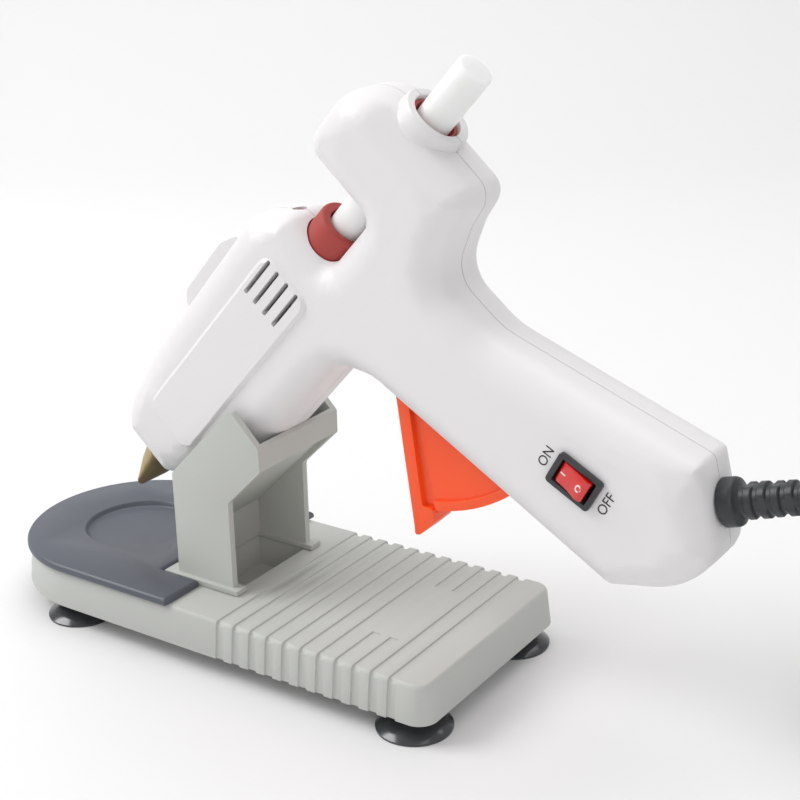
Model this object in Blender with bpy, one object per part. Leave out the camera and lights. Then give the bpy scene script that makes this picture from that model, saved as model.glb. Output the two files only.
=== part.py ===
"""Hot-melt glue gun with its bench stand: a two-shell gun on a slabbed base with a drip tray and a cradle post.

Run with: blender --background --python part.py
Shapes are worked out in millimetres and turned into metres at the end. +Z is up, X runs along the base
towards the handle, -Y is the gun's switch side. The origin is under the middle of the object.
"""
import math

import bmesh
import bpy
from mathutils import Matrix, Vector
from mathutils.geometry import delaunay_2d_cdt

MM = 1.0                  # one modelling unit is a millimetre until the last step

# ---------------------------------------------------------------- driving dimensions
X_SHIFT = -9.0            # middle of the object along X, from the datum used below
FLOOR_Z = -19.7           # underside of the feet, below the base's top face
GAP = 0.3                 # clearance between touching pieces

# base slab
BASE_HW = 38.6            # half width at the top
BASE_DRAFT = 1.4          # how far each side flares towards the bottom
BASE_H = 12.8
BASE_XC = -98.4           # centre of the round end
BASE_XR = 46.0            # square end
RIB_X0, RIB_PITCH, RIB_N = -31.9, 6.52, 11
RIB_STEP = 0.55
LABEL_X0, LABEL_X1, LABEL_HW = 12.2, 21.8, 17.8

# drip tray
TRAY_R = 40.0
TRAY_T = 2.6
TRAY_XR = -52.0
DISH_R, DISH_DEPTH = 20.0, 1.9

# cradle post
POST_HW = 20.8
POST_T = 2.4
POST_X0, POST_X1 = -62.5, -39.4
POST_SHOULDER = 37.5      # height where the left edge turns up beside the barrel
LIP_X, LIP_Z0, LIP_Z1 = -25.8, 45.2, 53.0
PEAK_X, PEAK_Z = -36.4, 64.0
FLANGE_X0, FLANGE_X1, FLANGE_HW, FLANGE_T = -67.4, -36.4, 22.6, 1.9
WELL_DEPTH = 9.5

# gun frame: u runs along the barrel from the nozzle tip, v is square to it in the gun's mid plane
TIP_X, TIP_Z = -97.2, 19.2
BARREL_DEG = 47.7
HALF_T = 15.7             # half thickness of the housing
EDGE_R = 10.5             # how far the sides round over
WALL = 2.2
NOTCH_V = -6.9
STICK_R = 5.5
STICK_U0, STICK_U1 = 122.0, 205.2
SLEEVE_R, SLEEVE_RI, SLEEVE_U1 = 9.3, 6.2, 139.6
COLLAR_U, COLLAR_R, COLLAR_R1, COLLAR_RI = 187.0, 11.2, 10.5, 8.0
PIVOT = (135.0, -36.5)
ARC_R = 56.0
TRIG_RIM, TRIG_WEB = 5.0, 3.0
SWITCH_C, SWITCH_DEG = (154.2, -101.5), -76.4
SWITCH_L, SWITCH_W = 15.0, 10.5
RELIEF_C, RELIEF_DEG = (178.3, -132.8), -31.0
SCREWS = [(44.0, -12.2), (88.0, -21.8), (117.0, 15.8), (169.0, 15.6), (176.0, -20.0), (162.5, -84.0), (143.0, -129.0)]
VENT_V = (6.5, 2.2, -2.3, -6.8)
VENT_U0, VENT_U1, VENT_W = 106.0, 120.6, 1.5

CA, SA = math.cos(math.radians(BARREL_DEG)), math.sin(math.radians(BARREL_DEG))

for o in list(bpy.data.objects):
    bpy.data.objects.remove(o, do_unlink=True)
for m in list(bpy.data.meshes):
    bpy.data.meshes.remove(m)

MATS = {}


def mat(name, rgb, rough, metal=0.0):
    if name not in MATS:
        m = bpy.data.materials.new(name)
        m.use_nodes = True
        b = m.node_tree.nodes["Principled BSDF"]
        b.inputs["Base Color"].default_value = (*rgb, 1.0)
        b.inputs["Roughness"].default_value = rough
        b.inputs["Metallic"].default_value = metal
        MATS[name] = m
    return MATS[name]


WHITE = ("white_plastic", (0.78, 0.76, 0.75), 0.45)
GREY = ("grey_plastic", (0.46, 0.47, 0.43), 0.5)
POSTC = ("post_plastic", (0.54, 0.55, 0.50), 0.5)
SLATE = ("slate_plastic", (0.125, 0.135, 0.155), 0.45)
RUBBER = ("dark_rubber", (0.05, 0.053, 0.056), 0.4)
ORANGE = ("orange_plastic", (0.94, 0.13, 0.04), 0.4)
RED = ("red_silicone", (0.39, 0.06, 0.045), 0.5)
BRASS = ("brass", (0.55, 0.42, 0.18), 0.35, 1.0)
ALU = ("aluminium", (0.7, 0.71, 0.72), 0.45, 1.0)
STEEL = ("steel", (0.6, 0.6, 0.6), 0.35, 1.0)
GLUE = ("glue", (0.86, 0.87, 0.86), 0.3)
BLACK = ("black_plastic", (0.03, 0.03, 0.032), 0.4)
ROCK = ("red_plastic", (0.72, 0.04, 0.03), 0.3)
LAMP = ("lamp_lens", (0.16, 0.05, 0.05), 0.25)
CABLE = ("cable_sheath", (0.045, 0.047, 0.05), 0.5)


# ---------------------------------------------------------------- helpers
def P(x, y, z):
    """Datum millimetres to the object's frame."""
    return Vector(((x - X_SHIFT) * MM, y * MM, (z - FLOOR_Z) * MM))


def G(u, y, v):
    """Gun frame millimetres to the object's frame."""
    return P(TIP_X + u * CA - v * SA, y, TIP_Z + u * SA + v * CA)


def finish(name, bm, material, smooth=True):
    bmesh.ops.recalc_face_normals(bm, faces=bm.faces)
    me = bpy.data.meshes.new(name)
    bm.to_mesh(me)
    bm.free()
    me.materials.append(mat(*material))
    if smooth:
        me.shade_smooth()
        me.set_sharp_from_angle(angle=math.radians(35))
    ob = bpy.data.objects.new(name, me)
    bpy.context.scene.collection.objects.link(ob)
    return ob


def closed_volume(me):
    """Volume of a mesh, or None if an edge hasn't two faces."""
    bm = bmesh.new()
    bm.from_mesh(me)
    vol = None if not bm.faces or any(len(e.link_faces) != 2 for e in bm.edges) else bm.calc_volume(signed=True)
    bm.free()
    return vol


def apply_bool(ob, tool, op="DIFFERENCE"):
    """Apply one cut or union at once; the second solver is for the shapes that the first leaves open."""
    va, vb = closed_volume(ob.data) or 0.0, closed_volume(tool.data) or 0.0
    for solver in ("EXACT", "MANIFOLD"):
        md = ob.modifiers.new("b", "BOOLEAN")
        md.operation = op
        md.solver = solver
        md.object = tool
        bpy.context.view_layer.update()
        dg = bpy.context.evaluated_depsgraph_get()
        me = bpy.data.meshes.new_from_object(ob.evaluated_get(dg))
        ob.modifiers.clear()
        bm = bmesh.new()
        bm.from_mesh(me)
        bmesh.ops.remove_doubles(bm, verts=bm.verts, dist=0.0005)
        bm.to_mesh(me)
        bm.free()
        v = closed_volume(me)
        low, high = (max(va, vb), va + vb) if op == "UNION" else (va - vb, va)
        if v is not None and low - 0.01 <= v <= high + 0.01:
            break
    old = ob.data
    ob.data = me
    bpy.data.meshes.remove(old)
    bpy.data.objects.remove(tool, do_unlink=True)


def cut(ob, *tools):
    for t in tools:
        apply_bool(ob, t)
    return ob


def join(ob, *tools):
    for t in tools:
        apply_bool(ob, t, "UNION")
    return ob


def prism(name, pts, y0, y1, material=BLACK, frame=P):
    """Polygon in the (x, z) or (u, v) plane, extruded along Y."""
    bm = bmesh.new()
    lo = [bm.verts.new(frame(a, y0, b)) for a, b in pts]
    hi = [bm.verts.new(frame(a, y1, b)) for a, b in pts]
    n = len(pts)
    f = [bm.faces.new(lo), bm.faces.new(list(reversed(hi)))]
    for i in range(n):
        bm.faces.new((lo[i], hi[i], hi[(i + 1) % n], lo[(i + 1) % n]))
    bmesh.ops.triangulate(bm, faces=f, ngon_method="EAR_CLIP")
    return finish(name, bm, material)


def slab(name, pts, z0, z1, grow0=0.0, material=GREY):
    """Polygon in the (x, y) plane between two heights; grow0 widens the lower outline."""
    bm = bmesh.new()
    low = offset(pts, -grow0) if grow0 else pts
    lo = [bm.verts.new(P(a, b, z0)) for a, b in low]
    hi = [bm.verts.new(P(a, b, z1)) for a, b in pts]
    n = len(pts)
    f = [bm.faces.new(list(reversed(lo))), bm.faces.new(hi)]
    for i in range(n):
        bm.faces.new((lo[i], lo[(i + 1) % n], hi[(i + 1) % n], hi[i]))
    bmesh.ops.triangulate(bm, faces=f, ngon_method="EAR_CLIP")
    return finish(name, bm, material)


def loft(name, pts, levels, material=GREY):
    """Stack of offset outlines: levels are (height, inset) pairs from the bottom up."""
    bm = bmesh.new()
    rows = [[bm.verts.new(P(a, b, z)) for a, b in (offset(pts, d) if d else pts)] for z, d in levels]
    n = len(pts)
    f = [bm.faces.new(list(reversed(rows[0]))), bm.faces.new(rows[-1])]
    for lo, hi in zip(rows, rows[1:]):
        for i in range(n):
            bm.faces.new((lo[i], lo[(i + 1) % n], hi[(i + 1) % n], hi[i]))
    bmesh.ops.triangulate(bm, faces=f, ngon_method="EAR_CLIP")
    return finish(name, bm, material)


def lathe(name, prof, origin, axis, seg=24, material=BLACK, closed=False, frame=P, start=0.0):
    """Turn a (distance along axis, radius) profile. origin and axis are (a, y, b) in the frame's millimetres."""
    o = frame(*origin)
    tip = frame(*(origin[i] + axis[i] for i in range(3)))
    d = (tip - o).normalized()
    side = d.orthogonal().normalized() if abs(d.y) > 0.5 else Vector((0, 1, 0))
    side = (side - d * side.dot(d)).normalized()
    up = d.cross(side)
    bm = bmesh.new()
    rings = []
    for s, r in prof:
        c = o + d * (s * MM)
        if r <= 1e-6:
            rings.append([bm.verts.new(c)])
        else:
            rings.append([bm.verts.new(c + (side * math.cos(start + 2 * math.pi * k / seg) + up * math.sin(start + 2 * math.pi * k / seg)) * (r * MM)) for k in range(seg)])
    pairs = list(zip(rings, rings[1:]))
    if closed:
        pairs.append((rings[-1], rings[0]))
    for a, b in pairs:
        for k in range(seg):
            j = (k + 1) % seg
            if len(a) == 1 and len(b) == 1:
                continue
            if len(a) == 1:
                bm.faces.new((a[0], b[k], b[j]))
            elif len(b) == 1:
                bm.faces.new((a[k], b[0], a[j]))
            else:
                bm.faces.new((a[k], b[k], b[j], a[j]))
    return finish(name, bm, material)


def rounded(corners, step=18.0):
    """Polygon with rounded corners from (a, b, radius) triples."""
    out = []
    n = len(corners)
    for i in range(n):
        a, b, r = corners[i]
        p = Vector((a, b))
        p0 = Vector(corners[i - 1][:2])
        p1 = Vector(corners[(i + 1) % n][:2])
        if r <= 0:
            out.append((a, b))
            continue
        d0, d1 = (p0 - p).normalized(), (p1 - p).normalized()
        half = math.acos(max(-1, min(1, d0.dot(d1)))) / 2
        if math.degrees(half) > 87:
            out.append((a, b))
            continue
        t = min(r / math.tan(half), 0.49 * (p0 - p).length, 0.49 * (p1 - p).length)
        r = t * math.tan(half)
        c = p + (d0 + d1).normalized() * (r / math.sin(half))
        s0, s1 = p + d0 * t, p + d1 * t
        a0 = math.atan2(s0.y - c.y, s0.x - c.x)
        a1 = math.atan2(s1.y - c.y, s1.x - c.x)
        da = (a1 - a0 + math.pi) % (2 * math.pi) - math.pi
        k = max(1, round(abs(math.degrees(da)) / step))
        for j in range(k + 1):
            w = a0 + da * j / k
            out.append((c.x + r * math.cos(w), c.y + r * math.sin(w)))
    return out


def divided(pts, most):
    """Split every edge longer than most into equal pieces."""
    out = []
    for i, p in enumerate(pts):
        q = pts[(i + 1) % len(pts)]
        k = max(1, math.ceil(math.hypot(q[0] - p[0], q[1] - p[1]) / most))
        out += [(p[0] + (q[0] - p[0]) * j / k, p[1] + (q[1] - p[1]) * j / k) for j in range(k)]
    return out


def area(pts):
    return sum(pts[i - 1][0] * pts[i][1] - pts[i][0] * pts[i - 1][1] for i in range(len(pts))) / 2


def offset(pts, d):
    """Move every edge of a closed polygon inwards by d (outwards when negative)."""
    s = 1.0 if area(pts) > 0 else -1.0
    n = len(pts)
    out = []
    for i in range(n):
        p, q, r = Vector(pts[i - 1]), Vector(pts[i]), Vector(pts[(i + 1) % n])
        e0, e1 = (q - p).normalized(), (r - q).normalized()
        n0, n1 = Vector((-e0.y, e0.x)) * s, Vector((-e1.y, e1.x)) * s
        m = (n0 + n1)
        m = m / max(m.length_squared, 1e-9) * 2
        if m.length > 2.0:
            m = m.normalized() * 2.0
        out.append((q.x + m.x * d, q.y + m.y * d))
    return out


def seg_dist(p, a, b):
    ax, ay = a
    dx, dy = b[0] - ax, b[1] - ay
    L = dx * dx + dy * dy
    t = 0.0 if L == 0 else max(0.0, min(1.0, ((p[0] - ax) * dx + (p[1] - ay) * dy) / L))
    return math.hypot(p[0] - ax - t * dx, p[1] - ay - t * dy)


def edge_dist(p, poly):
    return min(seg_dist(p, poly[i - 1], poly[i]) for i in range(len(poly)))


def inside(p, poly):
    c = False
    n = len(poly)
    for i in range(n):
        (x0, y0), (x1, y1) = poly[i - 1], poly[i]
        if (y0 > p[1]) != (y1 > p[1]) and p[0] < (x1 - x0) * (p[1] - y0) / (y1 - y0) + x0:
            c = not c
    return c


def cyl_y(name, c, r, y0, y1, seg=16, material=STEEL, frame=G):
    return prism(name, [(c[0] + r * math.cos(2 * math.pi * k / seg), c[1] + r * math.sin(2 * math.pi * k / seg)) for k in range(seg)], y0, y1, material, frame)


def rect(c, deg, length, width, r=0.0):
    """Rectangle corners round c, its long side at deg."""
    ca, sa = math.cos(math.radians(deg)), math.sin(math.radians(deg))
    q = [(s * length / 2, t * width / 2) for s, t in ((-1, -1), (1, -1), (1, 1), (-1, 1))]
    pts = [(c[0] + x * ca - y * sa, c[1] + x * sa + y * ca) for x, y in q]
    return rounded([(x, y, r) for x, y in pts], 30) if r else pts


def box(name, x0, x1, y0, y1, z0, z1, material=GREY, frame=P):
    return prism(name, [(x0, z0), (x1, z0), (x1, z1), (x0, z1)], y0, y1, material, frame)


def smooth01(t):
    t = max(0.0, min(1.0, t))
    return t * t * (3 - 2 * t)


# ---------------------------------------------------------------- stand
def base_outline(n=20, grow=0.0):
    r = BASE_HW + grow
    arc = [(BASE_XC + r * math.cos(math.pi / 2 + math.pi * k / n), r * math.sin(math.pi / 2 + math.pi * k / n)) for k in range(n + 1)]
    cr = 5.0
    xr = BASE_XR + grow
    c1 = [(xr - cr + cr * math.cos(a), -r + cr + cr * math.sin(a)) for a in (math.radians(-90 + 30 * k) for k in range(4))]
    c2 = [(xr - cr + cr * math.cos(a), r - cr + cr * math.sin(a)) for a in (math.radians(30 * k) for k in range(4))]
    return arc + c1 + c2


base = loft("base_shell", base_outline(), [(-BASE_H, -BASE_DRAFT), (-1.3, -0.1), (0.0, 1.2)])
# shallow steps: each pitch has a lower half cut across the top and down both long sides
for i in range(RIB_N):
    x0 = RIB_X0 + RIB_PITCH * i
    x1 = x0 + RIB_PITCH * 0.48
    spans = [(-BASE_HW - 4, BASE_HW + 4)]
    if LABEL_X0 - 1 < x0 < LABEL_X1:
        spans = [(-BASE_HW - 4, -LABEL_HW), (LABEL_HW, BASE_HW + 4)]
    for y0, y1 in spans:
        cut(base, box("c", x0, x1, y0, y1, -RIB_STEP, 5.0))
    for s in (-1, 1):
        # side steps follow the draft of the side
        ya, yb = BASE_HW - RIB_STEP, BASE_HW + BASE_DRAFT - RIB_STEP
        bm = bmesh.new()
        q = []
        for x in (x0, x1):
            q.append([bm.verts.new(P(x, s * y, z)) for y, z in ((ya, 1.0), (ya + 4, 1.0), (yb + 4, -BASE_H - 1.0), (yb, -BASE_H - 1.0))])
        bm.faces.new(q[0])
        bm.faces.new(list(reversed(q[1])))
        for k in range(4):
            bm.faces.new((q[0][k], q[1][k], q[1][(k + 1) % 4], q[0][(k + 1) % 4]))
        cut(base, finish("c", bm, GREY))
# hollow underside, closed by a plate, with a solid block left round the post's well
inner = offset(base_outline(14), 2.4)
hollow = slab("c", inner, -BASE_H - 1.0, -2.6)
cut(hollow, box("c", -71.0, -33.5, -25.5, 25.5, -20.0, 5.0))
cut(base, hollow)
cut(base, box("c", POST_X0 + 2.6, POST_X1 - 0.3, -POST_HW + 2.7, POST_HW - 2.7, -WELL_DEPTH, 2.0))
plate_pts = offset(base_outline(14), 2.8)
plate = slab("base_plate", plate_pts, -BASE_H - 0.2, -BASE_H + 1.6)
cut(plate, box("c", -71.4, -33.1, -25.9, 25.9, -30.0, 5.0))

# drip tray: D-shaped plate round the flange of the post
tp = [(BASE_XC + TRAY_R * math.cos(math.pi / 2 + math.pi * k / 24), TRAY_R * math.sin(math.pi / 2 + math.pi * k / 24)) for k in range(25)]
tp += [(TRAY_XR, -TRAY_R), (TRAY_XR, -FLANGE_HW - 0.5), (FLANGE_X0 - 0.5, -FLANGE_HW - 0.5), (FLANGE_X0 - 0.5, FLANGE_HW + 0.5), (TRAY_XR, FLANGE_HW + 0.5), (TRAY_XR, TRAY_R)]
tray = loft("drip_tray", tp, [(0.3, 0.0), (TRAY_T - 1.0, 0.15), (TRAY_T, 1.1)], SLATE)
cut(tray, lathe("c", [(0, 0), (0, DISH_R - 1.6), (DISH_DEPTH, DISH_R), (8, DISH_R), (8, 0)], (-99.0, 0, TRAY_T - DISH_DEPTH), (0, 0, 1), 40))

# cradle post: two side walls, a back wall, a cross lip under the barrel and a sloped floor
wall = [(POST_X0, 0.3), (POST_X1, 0.3), (POST_X1, 31.8), (LIP_X, LIP_Z0), (LIP_X, LIP_Z1), (PEAK_X, PEAK_Z), (POST_X0, POST_SHOULDER)]
post = prism("cradle_post", wall, -POST_HW, POST_HW, POSTC)
core = prism("c", [(POST_X0 + 3.0, -1.0), (LIP_X + 8, -1.0), (LIP_X + 8, LIP_Z0), (LIP_X, LIP_Z0), (LIP_X - POST_T, LIP_Z0), (LIP_X - 4.9, LIP_Z0 - 2.6), (POST_X0 + 3.0, 14.0)], -POST_HW + POST_T, POST_HW - POST_T)
upper = prism("c", [(POST_X0 - 5, 17.7), (LIP_X - POST_T, LIP_Z1 - 3.5), (LIP_X - POST_T, LIP_Z1 - 2.4), (LIP_X - POST_T + 1.4, LIP_Z1 - 0.4), (LIP_X - POST_T + 1.4, 80), (POST_X0 - 5, 80)], -POST_HW + POST_T, POST_HW - POST_T)
cut(post, core, upper)
flange = slab("f", [(FLANGE_X0, -FLANGE_HW), (FLANGE_X1, -FLANGE_HW), (FLANGE_X1, -POST_HW + POST_T + 0.9), (POST_X0 + 2.6, -POST_HW + POST_T + 0.9), (POST_X0 + 2.6, POST_HW - POST_T - 0.9), (FLANGE_X1, POST_HW - POST_T - 0.9), (FLANGE_X1, FLANGE_HW), (FLANGE_X0, FLANGE_HW)], 0.25, FLANGE_T, 0.0, POSTC)
join(post, flange)
for k, s in enumerate((-1, 1)):
    c = (-66.0 + 0.9, s * 12.0)
    cut(post, lathe("c", [(0, 0), (0, 1.35), (6, 1.35), (6, 0)], (c[0], c[1], -2), (0, 0, 1), 12))
    cut(base, lathe("c", [(0, 0), (0, 3.0), (3.0, 3.0), (3.0, 1.5), (30, 1.5), (30, 0)], (c[0], c[1], -BASE_H - 1), (0, 0, 1), 12))
    lathe(f"post_screw_{k + 1}", [(0, 0), (0, 2.7), (1.6, 2.7), (1.6, 1.05), (13.8, 1.05), (13.8, 0)], (c[0], c[1], -BASE_H + 0.2), (0, 0, 1), 12, STEEL)

# suction feet
FEET = [(36.5, -29.6), (36.5, 29.6), (-100.5, -29.6), (-100.5, 29.6)]
for k, (x, y) in enumerate(FEET):
    lathe(f"suction_foot_{k + 1}",
          [(0.9, 0), (0.3, 7.5), (0, 11.9), (0.7, 11.9), (2.2, 9.6), (3.5, 6.6), (4.2, 4.4), (4.6, 3.4), (8.7, 3.4), (8.7, 5.4), (10.4, 5.4), (10.4, 0)],
          (x, y, FLOOR_Z), (0, 0, 1), 24, RUBBER)
    cut(plate, lathe("c", [(0, 0), (0, 4.4), (20, 4.4), (20, 0)], (x, y, -BASE_H - 5), (0, 0, 1), 14))


# ---------------------------------------------------------------- housing
OUTLINE = divided(rounded([
    (23.0, -9.0, 4), (66.0, -28.6, 26), (110.5, -28.6, 10), (117.3, -39.0, 12), (135.3, -129.5, 5), (148.0, -139.0, 12), (155.5, -142.4, 20),
    (168.5, -142.0, 7), (183.3, -120.0, 3.0), (158.0, -55.0, 24), (157.2, -34.0, 13), (172.0, -28.3, 12), (183.6, -26.5, 9),
    (183.6, 23.2, 14.5), (152.6, 23.4, 7.5), (152.6, NOTCH_V, 3.5), (132.0, NOTCH_V, 3.0), (132.0, 13.4, 6), (121.5, 22.9, 9),
    (60.0, 21.9, 60), (31.0, 18.0, 20), (23.0, 12.0, 5)], 30), 15.0)
PANEL = divided(rounded([(42.6, -11.2, 5), (121.0, -11.2, 4), (121.0, 9.0, 4), (42.6, 9.0, 5)], 45), 16.0)


def half_t(u, v):
    """Half thickness before the sides round over: the barrel narrows towards the nozzle."""
    t = HALF_T
    if v > -30 and u < 60:
        t -= 2.6 * (1 - smooth01((u - 23.0) / 32.0))
    return t


def edge_r(u, v):
    if v > -30 and u < 60:
        return EDGE_R - 4.0 * (1 - smooth01((u - 20.0) / 30.0))
    return EDGE_R


def height(u, v, inset=0.0):
    d = edge_dist((u, v), OUTLINE)
    r = edge_r(u, v)
    t = half_t(u, v)
    k = min(d, r)
    h = t - r + math.sqrt(max(0.0, r * r - (r - k) ** 2))
    if inset == 0.0 and inside((u, v), PANEL):
        h += 1.1
    return h - inset


def skin(poly, depths, inset, extra=()):
    """Triangulate the inside of poly with offset rows, and give each point its height."""
    pts = [tuple(p) for p in poly]
    n0 = len(pts)
    edges = [(i, (i + 1) % n0) for i in range(n0)]
    for d in depths:
        for q in offset(poly, d):
            if inside(q, poly) and edge_dist(q, poly) > d * 0.97:
                if all((q[0] - a) ** 2 + (q[1] - b) ** 2 > 0.5 for a, b in pts[n0:]):
                    pts.append(q)
    for loop in extra:
        k0 = len(pts)
        pts += [tuple(p) for p in loop]
        edges += [(k0 + i, k0 + (i + 1) % len(loop)) for i in range(len(loop))]
    vs, es, fs, *_ = delaunay_2d_cdt([Vector(p) for p in pts], edges, [list(range(n0))], 1, 1e-4)
    fs = [list(f) for f in fs]
    return [(p.x, p.y) for p in vs], fs


def shell_half(name, s, material=WHITE):
    """One half of the housing, s = -1 for the switch side and +1 for the other side."""
    y0 = 0.16
    r = EDGE_R
    rows = [r * (1 - math.cos(math.radians(a))) for a in (36, 90)]
    pan = [offset(PANEL, -0.55), offset(PANEL, 0.55)]
    grid = [[(u, v)] for u in (30, 38) for v in (-3, 8)]
    outer, of = skin(OUTLINE, rows, 0.0, pan)
    inner_poly = offset(OUTLINE, WALL)
    inn, nf = skin(inner_poly, [8.3], WALL)
    bm = bmesh.new()

    def put(points, inset):
        return [bm.verts.new(G(u, s * max(y0 + 0.5, height(u, v, inset)), v)) for u, v in points]
    ov = put(outer, 0.0)
    iv = put(inn, WALL)
    for f in of:
        bm.faces.new([ov[i] for i in f])
    for f in nf:
        bm.faces.new([iv[i] for i in f])
    # the first vertices of each skin are its outline, in order
    no, ni = len(OUTLINE), len(inner_poly)
    o0 = [bm.verts.new(G(u, s * y0, v)) for u, v in OUTLINE]
    i0 = [bm.verts.new(G(u, s * y0, v)) for u, v in inner_poly]
    omap = [min(range(len(outer)), key=lambda j: (outer[j][0] - p[0]) ** 2 + (outer[j][1] - p[1]) ** 2) for p in OUTLINE]
    imap = [min(range(len(inn)), key=lambda j: (inn[j][0] - p[0]) ** 2 + (inn[j][1] - p[1]) ** 2) for p in inner_poly]
    for i in range(no):
        j = (i + 1) % no
        bm.faces.new((o0[i], o0[j], ov[omap[j]], ov[omap[i]]))
        bm.faces.new((i0[i], i0[j], iv[imap[j]], iv[imap[i]]))
        bm.faces.new((o0[i], i0[i], i0[j], o0[j]))
    assert no == ni
    bmesh.ops.triangulate(bm, faces=[f for f in bm.faces if len(f.verts) > 3])
    return finish(name, bm, material)


def boss(ob, c, r, s, y0=0.16, seg=10):
    # the top follows the skin, so it stays inside the wall where the side rounds over
    bm = bmesh.new()
    ring = [(c[0] + r * math.cos(2 * math.pi * k / seg), c[1] + r * math.sin(2 * math.pi * k / seg)) for k in range(seg)]
    lo = [bm.verts.new(G(u, s * y0, v)) for u, v in ring]
    hi = [bm.verts.new(G(u, s * (height(u, v) - 0.9), v)) for u, v in ring]
    mid = bm.verts.new(G(c[0], s * (height(c[0], c[1]) - 1.1), c[1]))
    bm.faces.new(lo)
    for k in range(seg):
        j = (k + 1) % seg
        bm.faces.new((lo[k], lo[j], hi[j], hi[k]))
        bm.faces.new((hi[k], hi[j], mid))
    bmesh.ops.triangulate(bm, faces=[f for f in bm.faces if len(f.verts) > 3])
    join(ob, finish("c", bm, WHITE))


def gun_lathe(name, prof, material=BLACK, seg=24, closed=False, v=0.0):
    return lathe(name, prof, (0, 0, v), (1, 0, 0), seg, material, closed, G)


def housing(name, s):
    h = shell_half(name, s)
    # collar round the stick inlet
    def keep_half(t):
        a, b = (-40, 0.16) if s > 0 else (-0.16, 40)
        cut(t, box("c", -60, 260, a, b, -200, 80, WHITE, G))
        return t
    join(h, keep_half(gun_lathe("c", [(175.0, 7.6), (175.0, 11.9), (183.0, 11.3), (COLLAR_U, COLLAR_R1), (COLLAR_U, 7.6)], WHITE, 20, True)))
    # low pad on top of the barrel
    pad = prism("c", [(77.5, 19.5), (113.0, 19.5), (110.5, 23.0), (104.5, 25.6), (81.5, 25.4), (78.0, 22.6)], *sorted((s * 0.16, s * 9.0)), WHITE, G)
    join(h, pad)
    for c in SCREWS:
        boss(h, c, 3.2 if c[0] < 50 else 3.6, s)
    boss(h, PIVOT, 4.4, s, 6.6)
    # openings on the barrel's axis: nozzle, sleeve, stick, collar bore
    cut(h, gun_lathe("c", [(15, 0), (15, 8.2), (29, 8.2), (29, 0)], WHITE, 16))
    cut(h, gun_lathe("c", [(124, 0), (124, SLEEVE_R + 0.5), (141.5, SLEEVE_R + 0.5), (141.5, 0)], WHITE, 20))
    cut(h, gun_lathe("c", [(140, 0), (140, 6.4), (200, 6.4), (200, 0)], WHITE, 16))
    cut(h, gun_lathe("c", [(176.0, 0), (176.0, 7.6), (200, 7.6), (200, 0)], WHITE, 20))
    # lamp window in the rear top corner, on the split line
    cut(h, lathe("c", [(0, 0), (0, 2.3), (20, 2.3), (20, 0)], (122.5, 0, 8.2), (0.7, 0, 0.72), 14, WHITE, False, G))
    # vents
    for v in VENT_V:
        cut(h, prism("c", [(VENT_U0, v - VENT_W / 2), (VENT_U1, v - VENT_W / 2), (VENT_U1, v + VENT_W / 2), (VENT_U0, v + VENT_W / 2)], *sorted((s * 10.0, s * 25.0)), WHITE, G))
    # trigger slot
    slot = prism("c", [(104, -30.9), (116.2, -30.9), (126.0, -30.9), (131.5, -60.0), (139.0, -96.5), (120.0, -96.5), (106, -60)], -5.4, 5.4, WHITE, G)
    cut(h, slot)
    # strain relief socket
    q = math.radians(RELIEF_DEG)
    cut(h, lathe("c", [(-9, 0), (-9, 4.6), (8, 4.6), (8, 0)], (RELIEF_C[0], 0, RELIEF_C[1]), (math.cos(q), 0, math.sin(q)), 18, WHITE, False, G))
    # screw bores, with counterbores on the far side
    for c in SCREWS:
        if s < 0:
            cut(h, cyl_y("c", c, 1.55, -9.5, 1.0, 8))
        else:
            top = height(*c)
            cut(h, cyl_y("c", c, 1.55, -1.0, 30.0, 8))
            cut(h, cyl_y("c", c, 3.0, top - 2.6, 30.0, 12))
    cut(h, cyl_y("c", PIVOT, 2.1, *sorted((s * 4.0, s * 12.6)), 12))
    if s < 0:
        cut(h, prism("c", rect(SWITCH_C, SWITCH_DEG, 13.6, 9.2), -30, -10, WHITE, G))
    return h


left = housing("housing_left", -1)
right = housing("housing_right", 1)

for k, c in enumerate(SCREWS):
    top = height(*c)
    lathe(f"housing_screw_{k + 1}", [(0, 0), (0, 2.6), (1.7, 2.6), (1.7, 1.2), (top - 0.6 + 7.8, 1.2), (top - 0.6 + 8.6, 0)], (c[0], top - 0.6, c[1]), (0, -1, 0), 10, STEEL, False, G)

# ---------------------------------------------------------------- glue path
gun_lathe("nozzle", [(0, 0.55), (0, 1.35), (20.0, 6.9), (21.0, 7.6), (29.5, 7.6), (29.5, 1.6), (8, 1.1)], BRASS, 24, True)
gun_lathe("melt_chamber", [(30.0, 2.4), (30.0, 8.0), (107.0, 8.0), (107.0, 7.0), (117.5, 7.0), (117.5, 6.0), (62.0, 6.0), (40.0, 2.4)], ALU, 24, True)
gun_lathe("front_support", [(33.0, 8.3), (33.0, 9.3), (37.0, 9.3), (37.0, 8.3)], SLATE, 20, True)
gun_lathe("inlet_sleeve", [(108.5, 7.3), (108.5, SLEEVE_R), (SLEEVE_U1 - 0.6, SLEEVE_R), (SLEEVE_U1, SLEEVE_R - 0.6), (SLEEVE_U1, SLEEVE_RI), (118.0, SLEEVE_RI), (118.0, 7.3)], RED, 28, True)
gun_lathe("sleeve_clamp", [(110.5, SLEEVE_R + 0.3), (110.5, SLEEVE_R + 1.1), (114.5, SLEEVE_R + 1.1), (114.5, SLEEVE_R + 0.3)], STEEL, 24, True)
prism("heater_element", [(52, -14.2), (84, -14.2), (84, -8.5), (52, -8.5)], -5.5, 5.5, ALU, G)
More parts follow.
